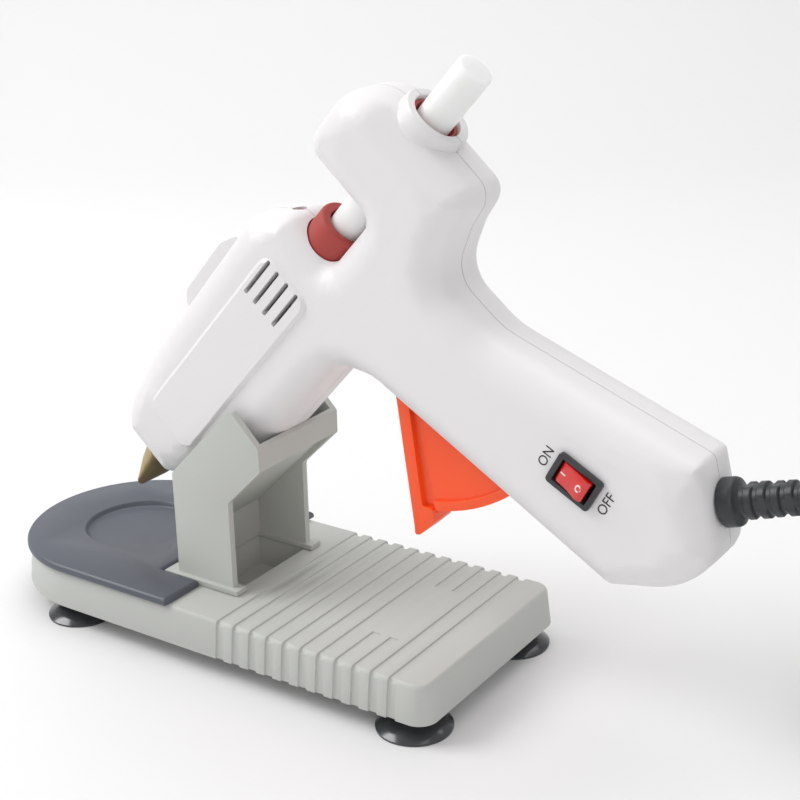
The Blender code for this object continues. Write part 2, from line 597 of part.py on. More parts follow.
# spring clip that holds the heater under the chamber
arc = [(9.2 * math.cos(math.radians(a)), 9.2 * math.sin(math.radians(a))) for a in range(-30, 211, 20)]
out_ = [(8.3 * math.cos(math.radians(a)), 8.3 * math.sin(math.radians(a))) for a in range(-30, 211, 20)]
bmc = bmesh.new()
prof = [(y, v) for y, v in [(8.9, -14.9)] + arc + [(-8.9, -14.9), (-8.0, -14.7)] + list(reversed(out_)) + [(8.0, -14.7)]]
a_ = [bmc.verts.new(G(62, y, v)) for y, v in prof]
b_ = [bmc.verts.new(G(74, y, v)) for y, v in prof]
ff = [bmc.faces.new(a_), bmc.faces.new(list(reversed(b_)))]
for i in range(len(prof)):
    j = (i + 1) % len(prof)
    bmc.faces.new((a_[i], b_[i], b_[j], a_[j]))
bmesh.ops.triangulate(bmc, faces=ff, ngon_method="EAR_CLIP")
finish("heater_clip", bmc, STEEL)
lathe("indicator_lamp", [(0, 0), (0, 1.9), (5.2, 1.9), (6.4, 1.2), (6.8, 0)], (124.9, 0, 10.7), (0.7, 0, 0.72), 14, LAMP, False, G)
gun_lathe("rear_guide_bush", [(176.5, 6.0), (176.5, 7.3), (185.6, 7.3), (185.6, 6.4), (182.0, 6.0)], RED, 28, True)
gun_lathe("glue_stick", [(STICK_U0, 0), (STICK_U0, STICK_R - 0.4), (STICK_U0 + 0.4, STICK_R), (STICK_U1 - 0.3, STICK_R), (STICK_U1, STICK_R - 0.3), (STICK_U1, 0)], GLUE, 24)

# ---------------------------------------------------------------- feed
arm = math.radians(0)
bar = prism("feed_carriage", [(133.5, -13.6), (172.0, -13.6), (172.0, -8.6), (164.5, -8.6), (164.5, -11.0), (133.5, -11.0)], -4.4, 4.4, BLACK, G)
ring = gun_lathe("c", [(164.5, 0), (164.5, 9.0), (171.0, 9.0), (171.0, 0)], BLACK, 24)
join(bar, ring)
cut(bar, gun_lathe("c", [(150, 0), (150, 6.1), (180, 6.1), (180, 0)], BLACK, 24))
for s in (-1, 1):
    lug = prism("c", [(134.5, -20.5), (143.5, -20.5), (143.5, -12.5), (134.5, -12.5)], *sorted((s * 2.3, s * 4.4)), BLACK, G)
    join(bar, lug)
cut(bar, prism("c", rounded([(137.2, -18.8, 1.7), (140.8, -18.8, 1.7), (140.8, -14.2, 1.7), (137.2, -14.2, 1.7)], 30), -8, 8, BLACK, G))
grip = gun_lathe("grip_plate", [(172.4, 5.9), (172.4, 8.6), (173.6, 8.6), (173.6, 5.9)], STEEL, 20, True)

# trigger: finger blade with a thick rim, a thin web, an arc rim about the pivot and an arm up to the carriage
pu, pv = PIVOT


def on_arc(deg, r=ARC_R):
    return (pu + r * math.cos(math.radians(deg)), pv + r * math.sin(math.radians(deg)))


web = [(117.2, -34.2), (118.6, -40.0), (118.4, -46.0), (95.0, -76.6), (94.0, -80.2), (98.4, -80.4)]
web += [on_arc(a, ARC_R - 0.4) for a in (-127.5, -122, -116, -110, -104, -98, -92.5)]
web += rounded([(133.4, -91.9, 0), (133.4, -60.0, 6), (141.0, -41.0, 6), (141.0, -32.0, 6), (140.6, -16.0, 1.5), (137.4, -16.0, 1.5), (135.2, -26.0, 0), (129.0, -33.5, 5), (124.0, -36.0, 6), (119.8, -34.2, 0)], 30)[1:]
trig = prism("trigger", web, -TRIG_WEB, TRIG_WEB, ORANGE, G)
# finger blade rim
blade = rounded([(112.3, -33.2, 0), (113.9, -34.0, 1.0), (116.6, -38.5, 8), (117.3, -45.5, 6), (89.3, -79.2, 0), (87.6, -80.9, 0.8), (89.2, -81.9, 0.8), (96.2, -82.4, 1.5), (99.3, -78.8, 1.0), (97.0, -76.0, 1.0), (121.0, -47.5, 6), (120.5, -38.0, 6), (116.5, -33.4, 3), (114.0, -31.9, 1)], 25)
join(trig, prism("c", blade, -TRIG_RIM, TRIG_RIM, ORANGE, G))
ao = [on_arc(a, ARC_R) for a in (-129.5, -124, -118, -112, -106, -100, -94.5)]
ai = [on_arc(a, ARC_R - 3.0) for a in (-94.5, -100, -106, -112, -118, -124, -129.5)]
join(trig, prism("c", ao + ai, -TRIG_RIM + 0.6, TRIG_RIM - 0.6, ORANGE, G))
join(trig, cyl_y("c", PIVOT, 5.6, -6.0, 6.0, 18))
cut(trig, cyl_y("c", PIVOT, 2.2, -12, 12, 14))
# the arm's end is thin, between the carriage's lugs
for s in (-1, 1):
    cut(trig, prism("c", [(130, -22.5), (150, -22.5), (150, -8), (130, -8)], *sorted((s * 1.9, s * 9)), ORANGE, G))
join(trig, cyl_y("c", (139.0, -16.5), 1.35, -4.2, 4.2, 12, ORANGE))
cyl_y("trigger_pin", PIVOT, 1.8, -12.0, 12.0, 14, STEEL)


# return spring: three turns round the pin's boss, one leg on the shell's wall and one on the trigger's side
def tube(name, pts, r, seg, material, frame=G):
    """Round wire along a path of points."""
    bm = bmesh.new()
    q = [frame(*p) for p in pts]
    rings = []
    nrm = None
    for i, p in enumerate(q):
        t = (q[min(i + 1, len(q) - 1)] - q[max(i - 1, 0)]).normalized()
        if nrm is None:
            nrm = t.orthogonal().normalized()
        nrm = (nrm - t * nrm.dot(t)).normalized()
        b = t.cross(nrm)
        rings.append([bm.verts.new(p + (nrm * math.cos(2 * math.pi * k / seg) + b * math.sin(2 * math.pi * k / seg)) * (r * MM)) for k in range(seg)])
    for a, c in zip(rings, rings[1:]):
        for k in range(seg):
            j = (k + 1) % seg
            bm.faces.new((a[k], a[j], c[j], c[k]))
    bm.faces.new(list(reversed(rings[0])))
    bm.faces.new(rings[-1])
    return finish(name, bm, material)


turns = 2.6
sp = [(pu + 14.0, 7.3, pv + 5.8)]
for k in range(int(turns * 12) + 1):
    a = 2 * math.pi * k / 12 + math.pi / 2
    sp.append((pu + 5.8 * math.cos(a), 7.3 + 1.25 * k / 12, pv + 5.8 * math.sin(a)))
tube("trigger_spring", sp, 0.42, 6, STEEL)

# ---------------------------------------------------------------- switch, on the side at y = -HALF_T
SY = -HALF_T
sb = prism("switch_body", rect(SWITCH_C, SWITCH_DEG, 12.9, 8.6), SY + 12.0, SY - 1.0, BLACK, G)
join(sb, prism("c", rect(SWITCH_C, SWITCH_DEG, SWITCH_L, SWITCH_W, 0.8), SY - 0.3, SY - 1.7, BLACK, G))
cut(sb, prism("c", rect(SWITCH_C, SWITCH_DEG, 11.6, 7.6), SY + 5.0, SY - 6.0, BLACK, G))
ca, sa = math.cos(math.radians(SWITCH_DEG)), math.sin(math.radians(SWITCH_DEG))


def S(t, y, w):
    """Switch frame: t along its long side, w across, y out of the side face is negative."""
    return G(SWITCH_C[0] + t * ca - w * sa, SY + y, SWITCH_C[1] + t * sa + w * ca)


# rocker: its pivot lies inside; the far (off) end stands proud while the switch is on
ROCK_TILT = 12.0


def rocker():
    prof = [(-5.0, 0.5), (-5.2, -1.2), (-3.6, -2.35), (0.0, -1.95), (3.6, -2.35), (5.2, -1.2), (5.0, 0.5), (2.0, 3.2), (-2.0, 3.2)]
    w = math.radians(ROCK_TILT)
    pts = []
    for t, y in prof:
        y0 = y - 1.0
        pts.append((t * math.cos(w) + y0 * math.sin(w), -t * math.sin(w) + y0 * math.cos(w) + 1.0))
    bm = bmesh.new()
    a = [bm.verts.new(S(t, y, -3.4)) for t, y in pts]
    b = [bm.verts.new(S(t, y, 3.4)) for t, y in pts]
    f = [bm.faces.new(a), bm.faces.new(list(reversed(b)))]
    for i in range(len(pts)):
        j = (i + 1) % len(pts)
        bm.faces.new((a[i], b[i], b[j], a[j]))
    bmesh.ops.triangulate(bm, faces=f, ngon_method="EAR_CLIP")
    return finish("switch_rocker", bm, ROCK)


rocker()
for k, t in enumerate((-3.4, 3.4)):
    c = (SWITCH_C[0] + t * ca, SWITCH_C[1] + t * sa)
    prism(f"switch_terminal_{k + 1}", rect(c, SWITCH_DEG + 90, 4.8, 0.8), SY + 12.3, SY + 18.5, BRASS, G)

# ---------------------------------------------------------------- strain relief and cord
q = math.radians(RELIEF_DEG)
RD = (math.cos(q), math.sin(q))


def cord_path():
    """Way points of the free cord in datum millimetres: out of the relief, down to the floor, to the coil."""
    rx, rz = TIP_X + RELIEF_C[0] * CA - RELIEF_C[1] * SA, TIP_Z + RELIEF_C[0] * SA + RELIEF_C[1] * CA
    dx, dz = RD[0] * CA - RD[1] * SA, RD[0] * SA + RD[1] * CA
    return (rx, rz, dx, dz)


RX, RZ, DX, DZ = cord_path()
HOUSING_FACE = -3.0       # the butt face, along the relief's axis
FLANGE_R = 6.85
RELIEF_TIP = 34.0
CORD_R = 3.0
relief_prof = [(-9.5, 3.4), (-9.5, 4.2), (HOUSING_FACE + 0.35, 4.2), (HOUSING_FACE + 0.35, FLANGE_R), (1.2, FLANGE_R), (2.0, FLANGE_R - 0.8), (2.0, 5.1)]
n_rib = 7
for k in range(n_rib):
    s0 = 3.2 + (RELIEF_TIP - 3.2) * k / n_rib
    r0 = 5.2 - 1.0 * k / n_rib
    relief_prof += [(s0, r0 - 0.8), (s0 + 1.2, r0 - 0.8), (s0 + 1.2, r0), (s0 + 3.2, r0 - 0.05)]
relief_prof += [(RELIEF_TIP, 4.0), (RELIEF_TIP, 3.4)]
lathe("strain_relief", relief_prof, (RELIEF_C[0], 0, RELIEF_C[1]), (RD[0], 0, RD[1]), 12, CABLE, True, G)

COIL_C = (184.0, 52.0)
COIL_R0, COIL_RI, COIL_TURNS = 43.0, 24.5, 3
COIL_H = 12.3


def smooth_path(way, step):
    """Evenly spaced points on a centripetal Catmull-Rom curve through the way points."""
    pts = [Vector(p) for p in way]
    ext = [pts[0] * 2 - pts[1]] + pts + [pts[-1] * 2 - pts[-2]]
    fine = []
    for i in range(1, len(ext) - 2):
        p0, p1, p2, p3 = ext[i - 1:i + 3]
        t = [0.0]
        for a, b in ((p0, p1), (p1, p2), (p2, p3)):
            t.append(t[-1] + max(1e-4, (b - a).length) ** 0.5)
        for k in range(24):
            w = t[1] + (t[2] - t[1]) * k / 24
            a1 = p0 * ((t[1] - w) / (t[1] - t[0])) + p1 * ((w - t[0]) / (t[1] - t[0]))
            a2 = p1 * ((t[2] - w) / (t[2] - t[1])) + p2 * ((w - t[1]) / (t[2] - t[1]))
            a3 = p2 * ((t[3] - w) / (t[3] - t[2])) + p3 * ((w - t[2]) / (t[3] - t[2]))
            b1 = a1 * ((t[2] - w) / (t[2] - t[0])) + a2 * ((w - t[0]) / (t[2] - t[0]))
            b2 = a2 * ((t[3] - w) / (t[3] - t[1])) + a3 * ((w - t[1]) / (t[3] - t[1]))
            fine.append(b1 * ((t[2] - w) / (t[2] - t[1])) + b2 * ((w - t[1]) / (t[2] - t[1])))
    fine.append(pts[-1])
    length = sum((b - a).length for a, b in zip(fine, fine[1:]))
    n = max(2, round(length / step))
    out, want, run = [fine[0]], length / n, 0.0
    for a, b in zip(fine, fine[1:]):
        seg = (b - a).length
        while run + seg >= want * len(out) and len(out) < n:
            out.append(a.lerp(b, (want * len(out) - run) / seg))
        run += seg
    return out + [fine[-1]]


def cable(name, pts, material=CABLE):
    cu = bpy.data.curves.new(name, "CURVE")
    cu.dimensions = "3D"
    cu.bevel_depth = CORD_R * MM
    cu.bevel_resolution = 2
    cu.use_fill_caps = True
    sp_ = cu.splines.new("POLY")
    sp_.points.add(len(pts) - 1)
    for p, w in zip(sp_.points, pts):
        p.co = (*P(*w), 1.0)
    cu.materials.append(mat(*material))
    ob = bpy.data.objects.new(name, cu)
    bpy.context.scene.collection.objects.link(ob)
    return ob


def drop_points():
    """From inside the relief, over and down, to the edge of the coil, heading (1, 1)."""
    way = [(RX + s * DX, 0.0, RZ + s * DZ) for s in (20.0, 27.0, 34.0, 40.0)]
    x0, y0 = COIL_C[0] + (COIL_R0 - 5) * 0.7071 - 19.8, COIL_C[1] - (COIL_R0 + 5) * 0.7071 - 19.8
    xt = x0
    way += [(xt - 13.5, y0 * 0.12, RZ + 8.6), (xt - 4.8, y0 * 0.4, RZ - 2.5), (xt - 1.0, y0 * 0.75, RZ - 19.0), (xt, y0 * 0.95, RZ - 37.0)]
    for a in (0.0, 14.0, 28.0, 42.0):
        w = math.radians(a)
        r = 28.0
        way.append((xt + r * (1 - math.cos(w)) * 0.7071, y0 + r * (1 - math.cos(w)) * 0.7071, FLOOR_Z + 3.1 + r - r * math.sin(w)))
    return way


cable("power_cord", smooth_path(drop_points(), 13.0))
coil = lathe("cord_coil", [(0.1, COIL_RI - CORD_R - 0.2), (0.1, COIL_R0 + CORD_R + 0.2), (COIL_H, COIL_R0 + CORD_R + 0.2), (COIL_H, COIL_RI - CORD_R - 0.2)], (COIL_C[0], COIL_C[1], FLOOR_Z), (0, 0, 1), 32, CABLE, True)
# tie: a strap round the coil's section
TIE_DEG = 205.0
tr = COIL_R0 + CORD_R + 0.5
ti = COIL_RI - CORD_R - 1.0
tie = prism("cord_tie", [(ti - 0.9, 0.0), (ti, 0.0), (ti, COIL_H + 0.3), (tr, COIL_H + 0.3), (tr, 0.0), (tr + 0.9, 0.0), (tr + 0.9, COIL_H + 1.2), (ti - 0.9, COIL_H + 1.2)], -4.0, 4.0, BLACK,
            lambda a, y, b: P(COIL_C[0] + a * math.cos(math.radians(TIE_DEG)) - y * math.sin(math.radians(TIE_DEG)), COIL_C[1] + a * math.sin(math.radians(TIE_DEG)) + y * math.cos(math.radians(TIE_DEG)), FLOOR_Z + b))

# flat two-pin plug lying on the coil, and the short end of the cord that comes round into it
PX, PY, PLUG_Z = COIL_C[0] + 12.0, COIL_C[1] + 27.0, 19.4
HX, HY = -1.0, 0.0
TAIL_R = 27.0
tail = []
for a in (66.0, 74.0, 82.0, 90.0):
    w = math.radians(a)
    tail.append((COIL_C[0] + 16 + TAIL_R * math.cos(w), COIL_C[1] + TAIL_R * math.sin(w), FLOOR_Z + 9.25 + (PLUG_Z - 9.25) * smooth01((TAIL_R * w + 15) / 57.4)))
tail += [(PX - t, PY, FLOOR_Z + PLUG_Z) for t in (0.0, 4.0, 8.0)]
cable("cord_tail", smooth_path(tail, 6.0))


def plug_frame(a, y, b):
    return P(PX + HX * a - HY * y, PY + HY * a + HX * y, FLOOR_Z + PLUG_Z + b)


half_pts = rounded([(0, -5.6, 1.5), (12, -7.0, 5), (22, -17.6, 6), (37, -17.6, 1.5), (37, 17.6, 1.5), (22, 17.6, 6), (12, 7.0, 5), (0, 5.6, 1.5)], 30)
bm = bmesh.new()
lo = [bm.verts.new(plug_frame(a, y, -6.8)) for a, y in half_pts]
hi = [bm.verts.new(plug_frame(a, y, 6.8)) for a, y in half_pts]
f = [bm.faces.new(lo), bm.faces.new(list(reversed(hi)))]
for i in range(len(half_pts)):
    j = (i + 1) % len(half_pts)
    bm.faces.new((lo[i], lo[j], hi[j], hi[i]))
bmesh.ops.triangulate(bm, faces=f, ngon_method="EAR_CLIP")
plug = finish("plug_body", bm, CABLE)
cut(plug, lathe("c", [(-2, 0), (-2, 3.35), (9, 3.35), (9, 0)], (0, 0, 0), (1, 0, 0), 16, CABLE, False, plug_frame))
for k, y in enumerate((-9.3, 9.3)):
    cut(plug, lathe("c", [(28, 0), (28, 2.4), (60, 2.4), (60, 0)], (0, y, 0), (1, 0, 0), 12, CABLE, False, plug_frame))
    lathe(f"plug_pin_{k + 1}", [(28.4, 0), (28.4, 2.05), (54.6, 2.05), (56.0, 1.2), (56.0, 0)], (0, y, 0), (1, 0, 0), 12, BRASS, False, plug_frame)

# inside the handle: clamp over the cord's end and the wires to the switch and the heater
prism("cord_clamp", rounded([(160.0, -126.5, 0.5), (163.5, -124.5, 0.5), (160.5, -119.0, 0.5), (157.0, -121.0, 0.5)], 45), -7.5, 7.5, SLATE, G)
tube("heater_wire", [(86.0, 3.5, -13.0), (95.0, 5.5, -17.5), (108.0, 7.0, -20.5), (119.0, 7.8, -24.5), (126.5, 8.4, -33.0), (127.5, 8.6, -46.0), (131.0, 8.6, -61.0), (138.0, 8.6, -77.0), (146.0, 7.6, -88.0), (149.5, 6.6, -94.5)], 0.9, 8, RED, G)
tube("switch_wire", [(155.5, 3.5, -108.0), (156.0, 5.0, -113.0), (156.5, 3.0, -117.5)], 0.9, 8, BLACK, G)

# drop the slivers that cuts leave, wherever the mesh stays closed
for ob in bpy.data.objects:
    if ob.type != "MESH":
        continue
    v0 = closed_volume(ob.data)
    a0 = sum(p.area for p in ob.data.polygons)
    for limit, flat in ((0.02, True), (0.008, True), (0.0005, True), (0.02, False), (0.008, False), (0.003, False)):
        bm = bmesh.new()
        bm.from_mesh(ob.data)
        bmesh.ops.remove_doubles(bm, verts=bm.verts, dist=limit)
        bmesh.ops.dissolve_degenerate(bm, edges=bm.edges, dist=limit)
        if flat:
            bmesh.ops.dissolve_limit(bm, angle_limit=0.004, verts=bm.verts, edges=bm.edges)
        bmesh.ops.triangulate(bm, faces=bm.faces, ngon_method="EAR_CLIP")
        me = ob.data.copy()
        bm.to_mesh(me)
        bm.free()
        v1 = closed_volume(me)
        # folded triangles would leave the volume alone but add to the area
        if v1 is not None and abs(v1 - v0) < 0.002 * abs(v0) and sum(p.area for p in me.polygons) < 1.002 * a0:
            ob.data = me
            break
        bpy.data.meshes.remove(me)

# millimetres to metres
for ob in bpy.data.objects:
    if ob.type == "MESH":
        ob.data.transform(Matrix.Scale(0.001, 4))
    else:
        ob.data.bevel_depth *= 0.001
        for w in ob.data.splines[0].points:
            w.co = (w.co.x * 0.001, w.co.y * 0.001, w.co.z * 0.001, 1.0)
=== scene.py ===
"""Looks of the glue gun and its stand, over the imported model. Lengths are worked out in millimetres and turned into metres."""
import math

import bmesh
import bpy
import numpy as np
from mathutils import Matrix, Vector
from mathutils.geometry import delaunay_2d_cdt


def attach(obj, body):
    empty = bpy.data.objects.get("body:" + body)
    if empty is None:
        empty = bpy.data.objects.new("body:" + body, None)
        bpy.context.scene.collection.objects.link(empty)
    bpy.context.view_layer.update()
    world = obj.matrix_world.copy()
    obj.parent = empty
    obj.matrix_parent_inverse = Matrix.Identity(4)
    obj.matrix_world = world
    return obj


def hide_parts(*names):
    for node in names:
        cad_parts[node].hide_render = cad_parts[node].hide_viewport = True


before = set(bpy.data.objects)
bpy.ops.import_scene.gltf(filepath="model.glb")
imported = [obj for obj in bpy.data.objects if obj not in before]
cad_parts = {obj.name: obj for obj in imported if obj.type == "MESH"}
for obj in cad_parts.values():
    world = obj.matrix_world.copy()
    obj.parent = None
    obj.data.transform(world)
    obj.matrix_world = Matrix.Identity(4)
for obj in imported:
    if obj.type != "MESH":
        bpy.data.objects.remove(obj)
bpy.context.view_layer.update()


X_SHIFT, FLOOR_Z = -9.0, -19.7
TIP_X, TIP_Z, BARREL_DEG = -97.2, 19.2, 47.7
CA, SA = math.cos(math.radians(BARREL_DEG)), math.sin(math.radians(BARREL_DEG))


def P(x, y, z):
    return Vector((x - X_SHIFT, y, z - FLOOR_Z))


def G(u, y, v):
    return P(TIP_X + u * CA - v * SA, y, TIP_Z + u * SA + v * CA)


# ---------------------------------------------------------------- materials
def srgb(c):
    c = c / 255.0
    return c / 12.92 if c <= 0.04045 else ((c + 0.055) / 1.055) ** 2.4


def lin(r, g, b):
    return (srgb(r), srgb(g), srgb(b), 1.0)


MATS = {}


def material(name, rgb, rough=0.45, metal=0.0, grain=900.0, bump=0.05, vary=0.05, rough_vary=0.06, coat=0.0, sss=0.0, trans=0.0, spec=0.5, edge=None, blotch=18.0):
    """Moulded or turned surface: fine grain in the bump, slow variation of colour and gloss, optional wear on edges."""
    if name in MATS:
        return MATS[name]
    m = bpy.data.materials.new(name)
    m.use_nodes = True
    nt = m.node_tree
    b = nt.nodes["Principled BSDF"]
    tc = nt.nodes.new("ShaderNodeTexCoord")
    fine = nt.nodes.new("ShaderNodeTexNoise")
    fine.inputs["Scale"].default_value = grain
    fine.inputs["Detail"].default_value = 3.0
    slow = nt.nodes.new("ShaderNodeTexNoise")
    slow.inputs["Scale"].default_value = blotch
    slow.inputs["Detail"].default_value = 4.0
    nt.links.new(tc.outputs["Object"], fine.inputs["Vector"])
    nt.links.new(tc.outputs["Object"], slow.inputs["Vector"])
    ramp = nt.nodes.new("ShaderNodeValToRGB")
    ramp.color_ramp.elements[0].position = 0.3
    ramp.color_ramp.elements[1].position = 0.7
    ramp.color_ramp.elements[0].color = (rgb[0] * (1 - vary), rgb[1] * (1 - vary), rgb[2] * (1 - vary), 1)
    ramp.color_ramp.elements[1].color = (min(1, rgb[0] * (1 + vary)), min(1, rgb[1] * (1 + vary)), min(1, rgb[2] * (1 + vary)), 1)
    nt.links.new(slow.outputs["Fac"], ramp.inputs["Fac"])
    colour = ramp.outputs["Color"]
    if edge:
        geo = nt.nodes.new("ShaderNodeNewGeometry")
        er = nt.nodes.new("ShaderNodeValToRGB")
        er.color_ramp.elements[0].position = 0.52
        er.color_ramp.elements[1].position = 0.62
        er.color_ramp.elements[0].color = (0, 0, 0, 1)
        er.color_ramp.elements[1].color = (0.55, 0.55, 0.55, 1)
        nt.links.new(geo.outputs["Pointiness"], er.inputs["Fac"])
        mx = nt.nodes.new("ShaderNodeMixRGB")
        mx.inputs["Color2"].default_value = edge
        nt.links.new(er.outputs["Color"], mx.inputs["Fac"])
        nt.links.new(colour, mx.inputs["Color1"])
        colour = mx.outputs["Color"]
    nt.links.new(colour, b.inputs["Base Color"])
    rr = nt.nodes.new("ShaderNodeMapRange")
    rr.inputs["To Min"].default_value = max(0.02, rough - rough_vary)
    rr.inputs["To Max"].default_value = min(1.0, rough + rough_vary)
    nt.links.new(slow.outputs["Fac"], rr.inputs["Value"])
    nt.links.new(rr.outputs["Result"], b.inputs["Roughness"])
    bp = nt.nodes.new("ShaderNodeBump")
    bp.inputs["Strength"].default_value = bump
    bp.inputs["Distance"].default_value = 0.0002
    nt.links.new(fine.outputs["Fac"], bp.inputs["Height"])
    nt.links.new(bp.outputs["Normal"], b.inputs["Normal"])
    b.inputs["Metallic"].default_value = metal
    b.inputs["Specular IOR Level"].default_value = spec
    b.inputs["Coat Weight"].default_value = coat
    b.inputs["Coat Roughness"].default_value = 0.12
    if sss:
        b.inputs["Subsurface Weight"].default_value = sss
        b.inputs["Subsurface Radius"].default_value = (1.0, 0.95, 0.9)
        b.inputs["Subsurface Scale"].default_value = 0.004
    if trans:
        b.inputs["Transmission Weight"].default_value = trans
    m.diffuse_color = (*rgb[:3], 1)
    MATS[name] = m
    return m


WHITE = material("housing_white", lin(229, 227, 228), 0.42, bump=0.12, vary=0.012, grain=1400, blotch=9)
GREY = material("base_grey", lin(188, 190, 186), 0.5, bump=0.14, vary=0.02, grain=1300)
POST = material("post_grey", lin(188, 190, 185), 0.5, bump=0.12, vary=0.02, grain=1300)
SLATE = material("tray_slate", lin(84, 88, 97), 0.42, bump=0.1, vary=0.04, grain=1200)
FOOT = material("foot_vinyl", lin(52, 54, 57), 0.2, bump=0.03, vary=0.08, coat=0.4)
ORANGE = material("trigger_orange", lin(255, 84, 24), 0.36, bump=0.08, vary=0.03, coat=0.15, sss=0.08)
RED = material("sleeve_red", lin(168, 62, 56), 0.55, bump=0.1, vary=0.06)
BRASS = material("nozzle_brass", lin(176, 152, 104), 0.34, 1.0, bump=0.15, vary=0.18, rough_vary=0.12, grain=500, blotch=60)
ALU = material("die_cast", lin(200, 200, 203), 0.5, 1.0, bump=0.3, vary=0.08)
STEEL = material("plated_steel", lin(190, 190, 188), 0.34, 1.0, bump=0.1, vary=0.06)
GLUE = material("glue_stick_clear", lin(240, 241, 240), 0.3, bump=0.05, vary=0.02, sss=0.85, coat=0.15, blotch=40)
BLACK = material("switch_black", lin(50, 50, 54), 0.36, bump=0.1, vary=0.06, edge=lin(90, 90, 94))
DARK = material("inner_black", lin(40, 41, 43), 0.5, bump=0.12, vary=0.05)
CABLE = material("cable_pvc", lin(48, 51, 53), 0.42, bump=0.08, vary=0.08, grain=1600)
ROCK = material("rocker_red", lin(212, 30, 24), 0.16, bump=0.02, vary=0.05, coat=0.7, sss=0.2)
LAMP = material("lamp_lens", lin(120, 58, 58), 0.2, bump=0.02, vary=0.1, coat=0.6)
MARK = material("mark_white", lin(240, 225, 222), 0.5, bump=0.02, vary=0.02)
INK = material("print_black", lin(32, 32, 34), 0.5, bump=0.02, vary=0.04)
WIRE = material("wire_red", lin(150, 50, 46), 0.5)
PINM = material("pin_nickel", lin(196, 190, 176), 0.28, 1.0, vary=0.05)


# ---------------------------------------------------------------- mesh helpers
def closed_volume(me):
    bm = bmesh.new()
    bm.from_mesh(me)
    vol = None if not bm.faces or any(len(e.link_faces) != 2 for e in bm.edges) else bm.calc_volume(signed=True)
    bm.free()
    return vol


def finish(name, bm, mat_, angle=32.0):
    bmesh.ops.recalc_face_normals(bm, faces=bm.faces)
    me = bpy.data.meshes.new(name)
    bm.to_mesh(me)
    bm.free()
    me.materials.append(mat_)
    me.shade_smooth()
    me.set_sharp_from_angle(angle=math.radians(angle))
    ob = bpy.data.objects.new(name, me)
    bpy.context.scene.collection.objects.link(ob)
    return ob


def baked(ob):
    bpy.context.view_layer.update()
    dg = bpy.context.evaluated_depsgraph_get()
    me = bpy.data.meshes.new_from_object(ob.evaluated_get(dg))
    ob.modifiers.clear()
    return me


def apply_bool(ob, tool, op="DIFFERENCE"):
    va, vb = closed_volume(ob.data) or 0.0, closed_volume(tool.data) or 0.0
    for solver in ("EXACT", "MANIFOLD"):
        md = ob.modifiers.new("b", "BOOLEAN")
        md.operation = op
        md.solver = solver
        md.object = tool
        me = baked(ob)
        bm = bmesh.new()
        bm.from_mesh(me)
        bmesh.ops.remove_doubles(bm, verts=bm.verts, dist=0.0005)
        bm.to_mesh(me)
        bm.free()
        v = closed_volume(me)
        low, high = (max(va, vb), va + vb) if op == "UNION" else (va - vb, va)
        if v is not None and low - 0.01 <= v <= high + 0.01:
            break
    old = ob.data
    ob.data = me
    bpy.data.meshes.remove(old)
    bpy.data.objects.remove(tool, do_unlink=True)
    return ob


def cut(ob, *tools):
    for t in tools:
        apply_bool(ob, t)
    return ob


def join(ob, *tools):
    for t in tools:
        apply_bool(ob, t, "UNION")
    return ob


def area(pts):
    return sum(pts[i - 1][0] * pts[i][1] - pts[i][0] * pts[i - 1][1] for i in range(len(pts))) / 2


def offset(pts, d):
    s = 1.0 if area(pts) > 0 else -1.0
    n = len(pts)
    out = []
    for i in range(n):
        p, q, r = Vector(pts[i - 1]), Vector(pts[i]), Vector(pts[(i + 1) % n])
        e0, e1 = (q - p).normalized(), (r - q).normalized()
        m = Vector((-e0.y, e0.x)) * s + Vector((-e1.y, e1.x)) * s
        m = m / max(m.length_squared, 1e-9) * 2
        if m.length > 2.0:
            m = m.normalized() * 2.0
        out.append((q.x + m.x * d, q.y + m.y * d))
    return out


def rounded(corners, step=8.0):
    out = []
    n = len(corners)
    for i in range(n):
        a, b, r = corners[i]
        p, p0, p1 = Vector((a, b)), Vector(corners[i - 1][:2]), Vector(corners[(i + 1) % n][:2])
        if r <= 0:
            out.append((a, b))
            continue
        d0, d1 = (p0 - p).normalized(), (p1 - p).normalized()
        half = math.acos(max(-1, min(1, d0.dot(d1)))) / 2
        if math.degrees(half) > 88.5:
            out.append((a, b))
            continue
        t = min(r / math.tan(half), 0.49 * (p0 - p).length, 0.49 * (p1 - p).length)
        r = t * math.tan(half)
        c = p + (d0 + d1).normalized() * (r / math.sin(half))
        s0, s1 = p + d0 * t, p + d1 * t
        a0 = math.atan2(s0.y - c.y, s0.x - c.x)
        da = (math.atan2(s1.y - c.y, s1.x - c.x) - a0 + math.pi) % (2 * math.pi) - math.pi
        k = max(1, round(abs(math.degrees(da)) / step))
        out += [(c.x + r * math.cos(a0 + da * j / k), c.y + r * math.sin(a0 + da * j / k)) for j in range(k + 1)]
    return out


def divided(pts, most):
    out = []
    for i, p in enumerate(pts):
        q = pts[(i + 1) % len(pts)]
        k = max(1, math.ceil(math.hypot(q[0] - p[0], q[1] - p[1]) / most))
        out += [(p[0] + (q[0] - p[0]) * j / k, p[1] + (q[1] - p[1]) * j / k) for j in range(k)]
    return out


def ngon_prism(name, pts, y0, y1, mat_=DARK, fr=P):
    bm = bmesh.new()
    lo = [bm.verts.new(fr(a, y0, b)) for a, b in pts]
    hi = [bm.verts.new(fr(a, y1, b)) for a, b in pts]
    bm.faces.new(lo)
    bm.faces.new(list(reversed(hi)))
    n = len(pts)
    for i in range(n):
        bm.faces.new((lo[i], hi[i], hi[(i + 1) % n], lo[(i + 1) % n]))
    return finish(name, bm, mat_)


def box(name, x0, x1, y0, y1, z0, z1, mat_=DARK, fr=P):
    return ngon_prism(name, [(x0, z0), (x1, z0), (x1, z1), (x0, z1)], y0, y1, mat_, fr)


